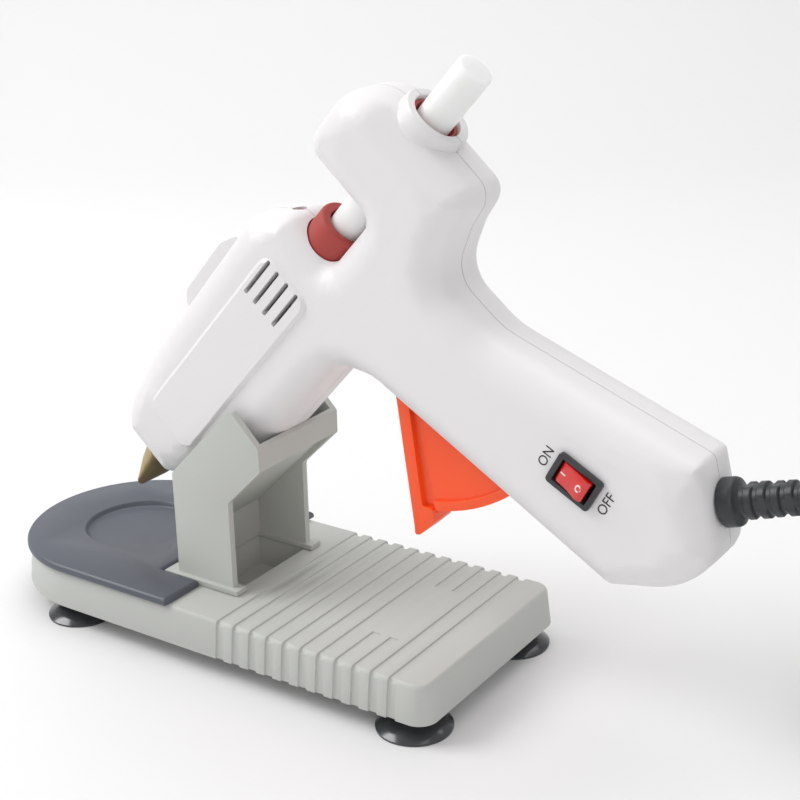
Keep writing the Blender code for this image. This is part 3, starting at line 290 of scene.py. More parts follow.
def loft(name, rows, mat_, cap=True):
    """Rows of points, one closed loop each, joined in turn."""
    bm = bmesh.new()
    vs = [[bm.verts.new(p) for p in r] for r in rows]
    n = len(rows[0])
    if cap:
        bm.faces.new(list(reversed(vs[0])))
        bm.faces.new(vs[-1])
    for lo, hi in zip(vs, vs[1:]):
        for i in range(n):
            bm.faces.new((lo[i], lo[(i + 1) % n], hi[(i + 1) % n], hi[i]))
    return finish(name, bm, mat_)


def lathe(name, prof, origin, axis, seg=48, mat_=DARK, closed=False, fr=P, angle=32.0, wobble=None):
    o = fr(*origin)
    d = (fr(*(origin[i] + axis[i] for i in range(3))) - o).normalized()
    side = d.orthogonal().normalized() if abs(d.y) > 0.5 else Vector((0, 1, 0))
    side = (side - d * side.dot(d)).normalized()
    up = d.cross(side)
    bm = bmesh.new()
    rings = []
    for s, r in prof:
        c = o + d * s
        if r <= 1e-6:
            rings.append([bm.verts.new(c)])
        else:
            ring = []
            for k in range(seg):
                a = 2 * math.pi * k / seg
                rr, ss = (r, 0.0) if wobble is None else wobble(s, r, a)
                ring.append(bm.verts.new(c + d * ss + (side * math.cos(a) + up * math.sin(a)) * rr))
            rings.append(ring)
    pairs = list(zip(rings, rings[1:]))
    if closed:
        pairs.append((rings[-1], rings[0]))
    for a, b in pairs:
        for k in range(seg):
            j = (k + 1) % seg
            if len(a) == 1 and len(b) == 1:
                continue
            if len(a) == 1:
                bm.faces.new((a[0], b[k], b[j]))
            elif len(b) == 1:
                bm.faces.new((a[k], b[0], a[j]))
            else:
                bm.faces.new((a[k], b[k], b[j], a[j]))
    return finish(name, bm, mat_, angle)


def soften(ob, width=0.35, segments=2, limit=35.0):
    """Break the sharp edges, as a mould does."""
    bm = bmesh.new()
    bm.from_mesh(ob.data)
    bmesh.ops.remove_doubles(bm, verts=bm.verts, dist=0.004)
    bmesh.ops.dissolve_degenerate(bm, edges=bm.edges, dist=0.004)
    bmesh.ops.dissolve_limit(bm, angle_limit=0.006, verts=bm.verts, edges=bm.edges)
    bm.to_mesh(ob.data)
    bm.free()
    keep = ob.data.copy()
    v0 = closed_volume(ob.data)
    md = ob.modifiers.new("bevel", "BEVEL")
    md.width = width
    md.segments = segments
    md.limit_method = "ANGLE"
    md.angle_limit = math.radians(limit)
    md.use_clamp_overlap = True
    me = baked(ob)
    v = closed_volume(me)
    if v is None or v0 is None or abs(v - v0) > 0.06 * abs(v0):
        ob.data = keep
    else:
        ob.data = me
    ob.data.shade_smooth()
    ob.data.set_sharp_from_angle(angle=math.radians(40))
    return ob


def weigh(ob):
    md = ob.modifiers.new("wn", "WEIGHTED_NORMAL")
    md.keep_sharp = True
    md.weight = 60
    me = baked(ob)
    ob.data = me
    return ob


def smooth01(t):
    t = max(0.0, min(1.0, t))
    return t * t * (3 - 2 * t)


PIECES = []


def place(ob, body, slot, *nodes):
    """Millimetres to metres, then ride on a body and stand for CAD nodes."""
    if ob.type == "MESH":
        ob.data.transform(Matrix.Scale(0.001, 4))
    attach(ob, body)
    if nodes:
        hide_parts(*nodes)
    PIECES.append(ob)
    return ob


# ---------------------------------------------------------------- camera
cam_data = bpy.data.cameras.new("camera")
cam = bpy.data.objects.new("camera", cam_data)
bpy.context.scene.collection.objects.link(cam)
cam_data.sensor_width = 36.0
cam_data.lens = 69.255
cam_data.clip_start = 0.01
YAW, PITCH, ROLL = math.radians(124.225), math.radians(20.295), math.radians(-1.25)
fwd = Vector((math.cos(PITCH) * math.cos(YAW), math.cos(PITCH) * math.sin(YAW), -math.sin(PITCH)))
rt = fwd.cross(Vector((0, 0, 1))).normalized()
up0 = rt.cross(fwd)
r2 = math.cos(ROLL) * rt + math.sin(ROLL) * up0
u2 = -math.sin(ROLL) * rt + math.cos(ROLL) * up0
cm = Matrix(((r2.x, u2.x, -fwd.x, 0), (r2.y, u2.y, -fwd.y, 0), (r2.z, u2.z, -fwd.z, 0), (0, 0, 0, 1)))
cm.translation = P(258.8, -360.4, 231.6) * 0.001
cam.matrix_world = cm
bpy.context.scene.camera = cam

# ---------------------------------------------------------------- cord
RELIEF_C, RELIEF_DEG = (178.3, -132.8), -31.0
RELIEF_TIP, CORD_R = 34.0, 3.0
q_ = math.radians(RELIEF_DEG)
RD = (math.cos(q_), math.sin(q_))
RX, RZ = TIP_X + RELIEF_C[0] * CA - RELIEF_C[1] * SA, TIP_Z + RELIEF_C[0] * SA + RELIEF_C[1] * CA
DX, DZ = RD[0] * CA - RD[1] * SA, RD[0] * SA + RD[1] * CA
COIL_C = (184.0, 52.0)
COIL_R0, COIL_RI, TURNS = 43.0, 24.5, 3
TAIL_R = 27.0
PX, PY, PLUG_Z = COIL_C[0] + 12.0, COIL_C[1] + 27.0, 19.4
HX, HY = -1.0, 0.0
Z1, Z2 = 3.1, 9.25


def smooth_path(way, step):
    pts = [Vector(p) for p in way]
    ext = [pts[0] * 2 - pts[1]] + pts + [pts[-1] * 2 - pts[-2]]
    fine = []
    for i in range(1, len(ext) - 2):
        p0, p1, p2, p3 = ext[i - 1:i + 3]
        t = [0.0]
        for a, b in ((p0, p1), (p1, p2), (p2, p3)):
            t.append(t[-1] + max(1e-4, (b - a).length) ** 0.5)
        for k in range(24):
            w = t[1] + (t[2] - t[1]) * k / 24
            a1 = p0 * ((t[1] - w) / (t[1] - t[0])) + p1 * ((w - t[0]) / (t[1] - t[0]))
            a2 = p1 * ((t[2] - w) / (t[2] - t[1])) + p2 * ((w - t[1]) / (t[2] - t[1]))
            a3 = p2 * ((t[3] - w) / (t[3] - t[2])) + p3 * ((w - t[2]) / (t[3] - t[2]))
            b1 = a1 * ((t[2] - w) / (t[2] - t[0])) + a2 * ((w - t[0]) / (t[2] - t[0]))
            b2 = a2 * ((t[3] - w) / (t[3] - t[1])) + a3 * ((w - t[1]) / (t[3] - t[1]))
            fine.append(b1 * ((t[2] - w) / (t[2] - t[1])) + b2 * ((w - t[1]) / (t[2] - t[1])))
    fine.append(pts[-1])
    length = sum((b - a).length for a, b in zip(fine, fine[1:]))
    n = max(2, round(length / step))
    out, want, run = [fine[0]], length / n, 0.0
    for a, b in zip(fine, fine[1:]):
        seg = (b - a).length
        while run + seg >= want * len(out) and len(out) < n:
            out.append(a.lerp(b, (want * len(out) - run) / seg))
        run += seg
    return out + [fine[-1]]


def cord_points():
    way = [(RX + s * DX, 0.0, RZ + s * DZ) for s in (27.0, 34.0, 40.0)]
    xt, y0 = COIL_C[0] + (COIL_R0 - 5) * 0.7071 - 19.8, COIL_C[1] - (COIL_R0 + 5) * 0.7071 - 19.8
    way += [(xt - 13.5, y0 * 0.12, RZ + 8.6), (xt - 4.8, y0 * 0.4, RZ - 2.5), (xt - 1.0, y0 * 0.75, RZ - 19.0), (xt, y0 * 0.95, RZ - 37.0)]
    for a in (0.0, 17.0, 34.0, 50.0, 66.0, 80.0):
        w = math.radians(a)
        r = 28.0
        way.append((xt + r * (1 - math.cos(w)) * 0.7071, y0 + r * (1 - math.cos(w)) * 0.7071, FLOOR_Z + Z1 + r - r * math.sin(w)))
    # the lower layer winds in, the cord climbs at the middle, and the top layer winds out
    a0 = math.radians(-45.0)
    step = math.radians(15.0)
    n1 = TURNS * 24
    for k in range(n1 + 1):
        r = COIL_R0 - (COIL_R0 - COIL_RI) * k / n1
        way.append((COIL_C[0] + r * math.cos(a0 + step * k), COIL_C[1] + r * math.sin(a0 + step * k), FLOOR_Z + Z1))
    base = a0 + step * n1
    for k in range(1, 5):
        w = smooth01(k / 4)
        way.append((COIL_C[0] + COIL_RI * math.cos(base + step * k), COIL_C[1] + COIL_RI * math.sin(base + step * k), FLOOR_Z + Z1 + (Z2 - Z1) * w))
    base += step * 4
    n2 = TURNS * 24 - 1
    for k in range(1, n2 + 1):
        r = COIL_RI + (COIL_R0 - COIL_RI) * k / n2
        way.append((COIL_C[0] + r * math.cos(base + step * k), COIL_C[1] + r * math.sin(base + step * k), FLOOR_Z + Z2))
    end = base + step * n2
    # off the top of the coil, a quarter bend up and round into the plug, which lies on the coil
    for a in (14.0, 28.0, 42.0, 54.0, 66.0, 78.0, 90.0):
        w = math.radians(a)
        way.append((COIL_C[0] + 16 + TAIL_R * math.cos(w), COIL_C[1] + TAIL_R * math.sin(w), FLOOR_Z + Z2 + (PLUG_Z - Z2) * smooth01((TAIL_R * w + 15) / 57.4)))
    for t in (0.0, 4.0, 8.0):
        way.append((PX - t, PY, FLOOR_Z + PLUG_Z))
    return way, math.degrees(end) % 360


way, END_DEG = cord_points()
cord_pts = smooth_path(way, 5.0)
cu = bpy.data.curves.new("lead", "CURVE")
cu.dimensions = "3D"
cu.bevel_depth = CORD_R * 0.001
cu.bevel_resolution = 5
cu.use_fill_caps = True
sp = cu.splines.new("POLY")
sp.points.add(len(cord_pts) - 1)
for p_, w_ in zip(sp.points, cord_pts):
    p_.co = (*(P(*w_) * 0.001), 1.0)
cu.materials.append(CABLE)
lead = bpy.data.objects.new("lead", cu)
bpy.context.scene.collection.objects.link(lead)
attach(lead, "gun")
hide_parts("power_cord", "cord_coil", "cord_tail")
PIECES.append(lead)
LEN = sum((b - a).length for a, b in zip(cord_pts, cord_pts[1:])) * 0.001
print("CORD", round(LEN, 4), "end", END_DEG)

tie_deg = math.radians(205.0)
tr, ti, ch = COIL_R0 + CORD_R + 0.4, COIL_RI - CORD_R - 0.7, Z2 + CORD_R + 0.1


def tie_frame(a, y, b):
    return P(COIL_C[0] + a * math.cos(tie_deg) - y * math.sin(tie_deg), COIL_C[1] + a * math.sin(tie_deg) + y * math.cos(tie_deg), FLOOR_Z + b)


tie = ngon_prism("tie", rounded([(ti - 0.7, 0.05, 0), (ti, 0.05, 0), (ti, ch, 2.5), (tr, ch, 2.5), (tr, 0.05, 0), (tr + 0.7, 0.05, 0), (tr + 0.7, ch + 0.8, 3.0), (ti - 0.7, ch + 0.8, 3.0)]), -4.0, 4.0, BLACK, tie_frame)
place(soften(tie, 0.2), "gun", "black", "cord_tie")

# plug: moulded two-pin body with a waist, and round pins with insulated roots


def plug_frame(a, y, b):
    return P(PX + HX * a - HY * y, PY + HY * a + HX * y, FLOOR_Z + PLUG_Z + b)


def plug_rows():
    half = [(0.0, 4.6, 4.6), (0.6, 5.4, 5.2), (6, 5.9, 5.6), (12, 7.2, 6.0), (17, 11.0, 6.4), (22, 16.2, 6.7), (27, 17.5, 6.8), (35.8, 17.5, 6.8), (36.8, 16.8, 6.2), (37.0, 15.6, 5.4)]
    rows = []
    for s, w, h in half:
        n = 40
        row = []
        for k in range(n):
            a = 2 * math.pi * k / n
            c, d = math.cos(a), math.sin(a)
            e = 0.45
            row.append(plug_frame(s, w * math.copysign(abs(c) ** e, c), h * math.copysign(abs(d) ** e, d)))
        rows.append(row)
    return rows


plug = loft("plug", plug_rows(), CABLE)
place(plug, "gun", "cable", "plug_body")
for k, y in enumerate((-9.3, 9.3)):
    pin = lathe(f"pin_{k + 1}", [(36.5, 0), (36.5, 1.95), (46.0, 1.95), (46.2, 2.05), (54.6, 2.05), (55.5, 1.6), (56.0, 0.8), (56.0, 0)], (0, y, 0), (1, 0, 0), 24, PINM, False, plug_frame)
    place(pin, "gun", "brass", f"plug_pin_{k + 1}")

# strain relief: flange, then a ribbed sleeve that narrows to the cord
relief_prof = [(-9.5, 3.3), (-9.5, 4.2), (-2.65, 4.2), (-2.65, 6.5), (-2.3, 6.85), (0.9, 6.85), (1.6, 6.6), (2.0, 6.0), (2.2, 5.2)]
n_rib = 8
for k in range(n_rib):
    s0 = 3.0 + (RELIEF_TIP - 3.4) * k / n_rib
    r0 = 5.2 - 1.0 * k / n_rib
    p = (RELIEF_TIP - 3.4) / n_rib
    relief_prof += [(s0, r0 - 0.75), (s0 + 0.3 * p, r0 - 0.8), (s0 + 0.36 * p, r0 - 0.3), (s0 + 0.44 * p, r0), (s0 + 0.88 * p, r0 - 0.06), (s0 + 0.95 * p, r0 - 0.35)]
relief_prof += [(RELIEF_TIP - 0.3, 4.0), (RELIEF_TIP, 3.8), (RELIEF_TIP, 3.02)]


def ribs(s, r, a):
    """Each rib is broken on two opposite sides, turn and turn about."""
    if s < 3.0 or s > RELIEF_TIP - 0.5:
        return r, 0.0
    k = int((s - 3.0) / ((RELIEF_TIP - 3.4) / n_rib))
    base = 5.2 - 1.0 * k / n_rib - 0.8
    w = abs(math.cos(a + (0.0 if k % 2 else math.pi / 2)))
    return (base + (r - base) * smooth01((1.0 - w) / 0.12) if r > base else r), 0.0


relief = lathe("relief", relief_prof, (RELIEF_C[0], 0, RELIEF_C[1]), (RD[0], 0, RD[1]), 64, CABLE, True, G, 40, ribs)
place(relief, "gun", "cable", "strain_relief")

# ---------------------------------------------------------------- housings
BASE_XR, BASE_HW, BASE_DRAFT, BASE_H, BASE_XC = 46.0, 38.6, 1.4, 12.8, -98.4
HALF_T, EDGE_R, WALL = 15.7, 10.5, 2.2
OUTLINE = divided(rounded([
    (23.0, -9.0, 4), (66.0, -28.6, 26), (110.5, -28.6, 10), (117.3, -39.0, 12), (135.3, -129.5, 5), (148.0, -139.0, 12), (155.5, -142.4, 20),
    (168.5, -142.0, 7), (183.3, -120.0, 3.0), (158.0, -55.0, 24), (157.2, -34.0, 13), (172.0, -28.3, 12), (183.6, -26.5, 9),
    (183.6, 23.2, 14.5), (152.6, 23.4, 7.5), (152.6, -6.9, 3.5), (132.0, -6.9, 3.0), (132.0, 13.4, 6), (121.5, 22.9, 9),
    (60.0, 21.9, 60), (31.0, 18.0, 20), (23.0, 12.0, 5)], 10), 5.0)
PANEL = divided(rounded([(42.6, -11.2, 5), (121.0, -11.2, 4), (121.0, 9.0, 4), (42.6, 9.0, 5)], 12), 6.0)
SCREWS = [(44.0, -12.2), (88.0, -21.8), (117.0, 15.8), (169.0, 15.6), (176.0, -20.0), (162.5, -84.0), (143.0, -129.0)]
PIVOT = (135.0, -36.5)
SWITCH_C, SWITCH_DEG = (154.2, -101.5), -76.4


def edge_dist(q, poly):
    a = np.array(poly)
    b = np.roll(a, -1, 0)
    e = b - a
    t = np.clip(((np.array(q) - a) * e).sum(1) / (e * e).sum(1), 0, 1)
    return float(np.hypot(*(np.array(q) - a - e * t[:, None]).T).min())


def inside(q, poly):
    x, y = q
    a = np.array(poly)
    b = np.roll(a, -1, 0)
    hit = (a[:, 1] > y) != (b[:, 1] > y)
    with np.errstate(divide="ignore", invalid="ignore"):
        xi = (b[:, 0] - a[:, 0]) * (y - a[:, 1]) / (b[:, 1] - a[:, 1]) + a[:, 0]
    return bool((hit & (x < xi)).sum() % 2)


def height(u, v, inset=0.0):
    near = v > -30 and u < 60
    t = HALF_T - (2.6 * (1 - smooth01((u - 23.0) / 32.0)) if near else 0.0)
    r = EDGE_R - (4.0 * (1 - smooth01((u - 20.0) / 30.0)) if near else 0.0)
    k = min(edge_dist((u, v), OUTLINE), r)
    h = t - r + math.sqrt(max(0.0, r * r - (r - k) ** 2))
    if inset == 0.0 and 40 < u < 124 and -14 < v < 12:
        sd = edge_dist((u, v), PANEL) * (1 if inside((u, v), PANEL) else -1)
        h += 1.1 * smooth01((sd + 0.65) / 1.3)
    return h - inset


def skin(poly, depths, loops=(), grid=()):
    pts = [tuple(p) for p in poly]
    n0 = len(pts)
    edges = [(i, (i + 1) % n0) for i in range(n0)]
    for d in depths:
        for q in offset(poly, d):
            if inside(q, poly) and edge_dist(q, poly) > d * 0.97 and all((q[0] - a) ** 2 + (q[1] - b) ** 2 > 0.25 for a, b in pts[n0:]):
                pts.append(q)
    for loop in loops:
        k0 = len(pts)
        pts += [tuple(p) for p in loop]
        edges += [(k0 + i, k0 + (i + 1) % len(loop)) for i in range(len(loop))]
    pts += [q for q in grid if inside(q, poly) and edge_dist(q, poly) > 4 and edge_dist(q, PANEL) > 1.6]
    vs, es, fs, *_ = delaunay_2d_cdt([Vector(p) for p in pts], edges, [list(range(n0))], 1, 1e-4)
    return [(p.x, p.y) for p in vs], [list(f) for f in fs]


INNER = offset(OUTLINE, WALL)
OUT_SKIN = skin(OUTLINE, [EDGE_R * (1 - math.cos(math.radians(a))) for a in (18, 30, 42, 54, 66, 78, 90)],
                [offset(PANEL, d) for d in (-0.65, -0.2, 0.2, 0.65)], [(u, v) for u in (30, 36, 42, 48, 54, 60) for v in (-6, 0, 6, 12)])
OUT_H = [height(*p) for p in OUT_SKIN[0]]
IN_SKIN = skin(INNER, [8.3])
IN_H = [height(u, v, WALL) for u, v in IN_SKIN[0]]


def shell_half(name, s):
    y0 = 0.15
    bm = bmesh.new()
    sides = []
    for (pts, fs), hs, loop in ((OUT_SKIN, OUT_H, OUTLINE), (IN_SKIN, IN_H, INNER)):
        vv = [bm.verts.new(G(u, s * max(y0 + 0.5, h), v)) for (u, v), h in zip(pts, hs)]
        for f in fs:
            bm.faces.new([vv[i] for i in f])
        a = np.array(pts)
        near = [vv[int(((a - np.array(p)) ** 2).sum(1).argmin())] for p in loop]
        low = [bm.verts.new(G(u, s * y0, v)) for u, v in loop]
        sides.append((near, low))
        for i in range(len(loop)):
            j = (i + 1) % len(loop)
            bm.faces.new((low[i], low[j], near[j], near[i]))
    (_, o), (_, n_) = sides
    for i in range(len(o)):
        j = (i + 1) % len(o)
        bm.faces.new((o[i], n_[i], n_[j], o[j]))
    return finish(name, bm, WHITE)


def merged(tools):
    """Several tools that don't touch, as one mesh."""
    bm = bmesh.new()
    for t in tools:
        bm.from_mesh(t.data)
        bpy.data.objects.remove(t, do_unlink=True)
    return finish("tool", bm, WHITE)


def cyl(c, r, y0, y1, seg=32, mat_=DARK, name="c"):
    return lathe(name, [(0, 0), (0, r), (abs(y1 - y0), r), (abs(y1 - y0), 0)], (c[0], min(y0, y1), c[1]), (0, 1, 0), seg, mat_, False, G)


def boss(c, r, s, seg=24):
    """Screw boss whose top follows the skin, inside the wall."""
    ring = [(c[0] + r * math.cos(2 * math.pi * k / seg), c[1] + r * math.sin(2 * math.pi * k / seg)) for k in range(seg)]
    bm = bmesh.new()
    lo = [bm.verts.new(G(u, s * 0.15, v)) for u, v in ring]
    hi = [bm.verts.new(G(u, s * (height(u, v) - 0.9), v)) for u, v in ring]
    mid = bm.verts.new(G(c[0], s * (height(*c) - 1.1), c[1]))
    bm.faces.new(lo)
    for k in range(seg):
        j = (k + 1) % seg
        bm.faces.new((lo[k], lo[j], hi[j], hi[k]))
        bm.faces.new((hi[k], hi[j], mid))
    return finish("c", bm, WHITE)


def glathe(name, prof, mat_=WHITE, seg=64, closed=False):
    return lathe(name, prof, (0, 0, 0), (1, 0, 0), seg, mat_, closed, G)


def rect(c, deg, l, w, r=0.0):
    a = math.radians(deg)
    pts = rounded([(-l / 2, -w / 2, r), (l / 2, -w / 2, r), (l / 2, w / 2, r), (-l / 2, w / 2, r)], 15)
    return [(c[0] + x * math.cos(a) - y * math.sin(a), c[1] + x * math.sin(a) + y * math.cos(a)) for x, y in pts]


def housing(name, s):
    h = shell_half(name, s)
    collar = glathe("c", [(175.0, 7.6), (175.0, 11.9), (181.5, 11.5), (182.6, 11.3), (183.2, 10.9), (186.2, 10.5), (186.8, 10.2), (187.0, 9.8), (187.0, 8.1), (186.7, 7.7), (186.2, 7.6)], closed=True)
    cut(collar, box("c", -60, 260, *((-40, 0.15) if s > 0 else (-0.15, 40)), -200, 80, WHITE, G))
    join(h, collar)
    join(h, ngon_prism("c", rounded([(77.5, 19.5, 0), (113.0, 19.5, 0), (110.5, 23.0, 2.5), (104.5, 25.6, 5), (81.5, 25.4, 5), (78.0, 22.6, 2)]), *sorted((s * 0.15, s * 9.0)), WHITE, G))
    join(h, merged([boss(c, 3.2 if c[0] < 50 else 3.6, s) for c in SCREWS]))
    cut(h, glathe("c", [(124, 0), (124, 9.8), (141.5, 9.8), (141.5, 6.4), (176, 6.4), (176, 7.6), (200, 7.6), (200, 0)]))
    q = math.radians(RELIEF_DEG)
    tools = [glathe("c", [(15, 0), (15, 8.2), (29, 8.2), (29, 0)])]
    tools += [ngon_prism("c", rounded([(106.0, v - 0.75, 0.5), (120.6, v - 0.75, 0.5), (120.6, v + 0.75, 0.5), (106.0, v + 0.75, 0.5)], 30), *sorted((s * 10.0, s * 25.0)), WHITE, G) for v in (6.5, 2.2, -2.3, -6.8)]
    tools += [lathe("c", [(-9, 0), (-9, 4.6), (8, 4.6), (8, 0)], (RELIEF_C[0], 0, RELIEF_C[1]), (math.cos(q), 0, math.sin(q)), 32, WHITE, False, G)]
    if s > 0:
        tools += [cyl(c, 3.0, height(*c) - 2.6, 30.0) for c in SCREWS]
    else:
        tools.append(ngon_prism("c", rect(SWITCH_C, SWITCH_DEG, 13.6, 9.2), -30, -10, WHITE, G))
    cut(h, merged(tools))
    cut(h, lathe("c", [(0, 0), (0, 2.3), (20, 2.3), (20, 0)], (122.5, 0, 8.2), (0.7, 0, 0.72), 32, WHITE, False, G))
    cut(h, ngon_prism("c", [(104, -30.9), (116.2, -30.9), (126.0, -30.9), (131.5, -60.0), (139.0, -96.5), (120.0, -96.5), (106, -60)], -5.4, 5.4, WHITE, G))
    h.data.shade_smooth()
    h.data.set_sharp_from_angle(angle=math.radians(34))
    weigh(h)
    return place(h, "gun", "housing", name)


housing("housing_left", -1)
housing("housing_right", 1)
place(glathe("nozzle", [(0, 0.55), (0, 1.2), (0.25, 1.4), (3.0, 2.2), (12.0, 5.0), (19.6, 6.85), (20.6, 7.3), (21.0, 7.6), (29.5, 7.6), (29.5, 1.6), (8, 1.1)], BRASS, closed=True), "gun", "brass", "nozzle")
place(glathe("sleeve", [(108.5, 7.3), (108.5, 9.3), (138.6, 9.3), (139.2, 9.1), (139.6, 8.6), (139.6, 6.5), (139.3, 6.2), (118.0, 6.2), (118.0, 7.3)], RED, closed=True), "gun", "sleeve", "inlet_sleeve")
place(glathe("bush", [(176.5, 6.0), (176.5, 7.3), (185.4, 7.3), (185.6, 7.1), (185.6, 6.6), (185.4, 6.4), (182.0, 6.0)], RED, closed=True), "gun", "sleeve", "rear_guide_bush")
place(glathe("stick", [(122.0, 0), (122.0, 5.1), (122.4, 5.5), (204.6, 5.5), (205.0, 5.3), (205.2, 5.0), (205.2, 0)], GLUE), "stick", "glue", "glue_stick")
place(lathe("lamp", [(0, 0), (0, 1.9), (5.2, 1.9), (6.0, 1.6), (6.6, 0.9), (6.8, 0)], (124.9, 0, 10.7), (0.7, 0, 0.72), 32, LAMP, False, G), "gun", "lamp", "indicator_lamp")

# ---------------------------------------------------------------- trigger
pu, pv = PIVOT


def on_arc(deg, r=56.0):
    return (pu + r * math.cos(math.radians(deg)), pv + r * math.sin(math.radians(deg)))


web = [(117.2, -34.2), (118.6, -40.0), (118.4, -46.0), (95.0, -76.6), (94.0, -80.2), (98.4, -80.4)]
web += [on_arc(a, 55.6) for a in np.linspace(-127.5, -92.5, 15)]
web += rounded([(133.4, -91.9, 0), (133.4, -60.0, 6), (141.0, -41.0, 6), (141.0, -32.0, 6), (140.6, -16.0, 1.5), (137.4, -16.0, 1.5), (135.2, -26.0, 0), (129.0, -33.5, 5), (124.0, -36.0, 6), (119.8, -34.2, 0)], 15)[1:]
trig = ngon_prism("trigger", web, -3.0, 3.0, ORANGE, G)
blade = rounded([(112.3, -33.2, 0), (113.9, -34.0, 1.0), (116.6, -38.5, 8), (117.3, -45.5, 6), (89.3, -79.2, 0), (87.6, -80.9, 0.8), (89.2, -81.9, 0.8), (96.2, -82.4, 1.5), (99.3, -78.8, 1.0), (97.0, -76.0, 1.0), (121.0, -47.5, 6), (120.5, -38.0, 6), (116.5, -33.4, 3), (114.0, -31.9, 1)], 10)
join(trig, ngon_prism("c", blade, -5.0, 5.0, ORANGE, G))
join(trig, ngon_prism("c", [on_arc(a) for a in np.linspace(-129.5, -94.5, 18)] + [on_arc(a, 53.0) for a in np.linspace(-94.5, -129.5, 18)], -4.4, 4.4, ORANGE, G))
join(trig, cyl(PIVOT, 5.6, -6.0, 6.0, 48))
cut(trig, cyl(PIVOT, 2.2, -12, 12, 32))
for s in (-1, 1):
    cut(trig, ngon_prism("c", [(130, -22.5), (150, -22.5), (150, -8), (130, -8)], *sorted((s * 1.9, s * 9)), ORANGE, G))
join(trig, cyl((139.0, -16.5), 1.35, -4.2, 4.2, 24))
place(soften(trig, 0.45, 3, 40), "trigger", "trigger", "trigger")

# ---------------------------------------------------------------- switch
SY = -HALF_T
ca, sa = math.cos(math.radians(SWITCH_DEG)), math.sin(math.radians(SWITCH_DEG))


def S(t, y, w):
    """t along the switch, w across it, y out of the side face is negative."""
    return G(SWITCH_C[0] + t * ca - w * sa, SY + y, SWITCH_C[1] + t * sa + w * ca)


sb = ngon_prism("switch_body", rect(SWITCH_C, SWITCH_DEG, 12.9, 8.6, 0.2), SY - 1.0, SY + 12.0, BLACK, G)
join(sb, ngon_prism("c", rect(SWITCH_C, SWITCH_DEG, 15.0, 10.5, 1.2), SY - 1.7, SY - 0.3, BLACK, G))
cut(sb, ngon_prism("c", rect(SWITCH_C, SWITCH_DEG, 11.6, 7.6, 0.4), SY - 6.0, SY + 5.0, BLACK, G))
place(soften(sb, 0.3, 3), "gun", "black", "switch_body")
ROCK_W = math.radians(12.0)


def tilted(t, y):
    return (t * math.cos(ROCK_W) + (y - 1.0) * math.sin(ROCK_W), -t * math.sin(ROCK_W) + (y - 1.0) * math.cos(ROCK_W) + 1.0)


rk = [(-5.0, 0.5), (-5.2, -1.2), (-4.6, -1.9), (-3.8, -2.32), (-2.4, -2.15), (0.0, -1.95), (2.4, -2.15), (3.8, -2.32), (4.6, -1.9), (5.2, -1.2), (5.0, 0.5), (2.0, 3.2), (-2.0, 3.2)]
bm = bmesh.new()
lo = [bm.verts.new(S(*tilted(t, y), -3.4)) for t, y in rk]
hi = [bm.verts.new(S(*tilted(t, y), 3.4)) for t, y in rk]
bm.faces.new(lo)
bm.faces.new(list(reversed(hi)))
for i in range(len(rk)):
    j = (i + 1) % len(rk)
    bm.faces.new((lo[i], hi[i], hi[j], lo[j]))
place(soften(finish("rocker", bm, ROCK, 40), 0.25, 3, 45), "rocker", "rocker", "switch_rocker")


def rock_mark(t0, t1, w0, w1):
    """A flat bar just proud of the rocker's face."""
    b_ = bmesh.new()
    f_ = lambda t: -2.19 - 0.13 * max(0.0, (abs(t) - 2.4) / 1.4)
    v_ = [b_.verts.new(S(*tilted(t, f_(t) + d), w)) for d in (0.1, -0.02) for t, w in ((t0, w0), (t1, w0), (t1, w1), (t0, w1))]
    for q in ((0, 1, 2, 3), (7, 6, 5, 4), (0, 4, 5, 1), (1, 5, 6, 2), (2, 6, 7, 3), (3, 7, 4, 0)):
        b_.faces.new([v_[i] for i in q])
    return finish("mark", b_, MARK)


place(rock_mark(-3.9, -2.2, -0.22, 0.22), "rocker", None)
n = 28
b_ = bmesh.new()
rings = []
for d, r in ((-0.05, 1.0), (-0.05, 0.62), (0.1, 0.62), (0.1, 1.0)):
    rings.append([b_.verts.new(S(*tilted(3.0 + r * math.cos(2 * math.pi * k / n), -2.24 + d), r * 1.15 * math.sin(2 * math.pi * k / n))) for k in range(n)])
for k in range(4):
    for i in range(n):
        j = (i + 1) % n
        b_.faces.new((rings[k][i], rings[k][j], rings[(k + 1) % 4][j], rings[(k + 1) % 4][i]))
place(finish("mark_o", b_, MARK), "rocker", None)


def print_word(word, t, size=3.0):
    """Switch words printed on the side: the line runs along +w, the letters' tops point to -t."""
    cu_ = bpy.data.curves.new(word, "FONT")
    cu_.body = word
    cu_.size = size * 1.38
    cu_.align_x = "CENTER"
    cu_.align_y = "CENTER"
    cu_.extrude = 0.03
    cu_.resolution_u = 4
    o_ = bpy.data.objects.new(word, cu_)
    bpy.context.scene.collection.objects.link(o_)
    me = baked_curve(o_)
    bpy.data.objects.remove(o_, do_unlink=True)
    me.transform(Matrix(((1, 0, 0, 0), (0, 1, 0, 0), (0, 0, 1, 0), (0, 0, 0, 1))))
    for v_ in me.vertices:
        x, y, z = v_.co
        v_.co = S(t - y, -0.04 - z, x)
    me.materials.clear()
    me.materials.append(INK)
    ob_ = bpy.data.objects.new("print_" + word, me)
    bpy.context.scene.collection.objects.link(ob_)
    return place(ob_, "gun", None)


def baked_curve(o_):
    bpy.context.view_layer.update()
    return bpy.data.meshes.new_from_object(o_.evaluated_get(bpy.context.evaluated_depsgraph_get()))


print_word("ON", -10.6)
print_word("OFF", 10.6)

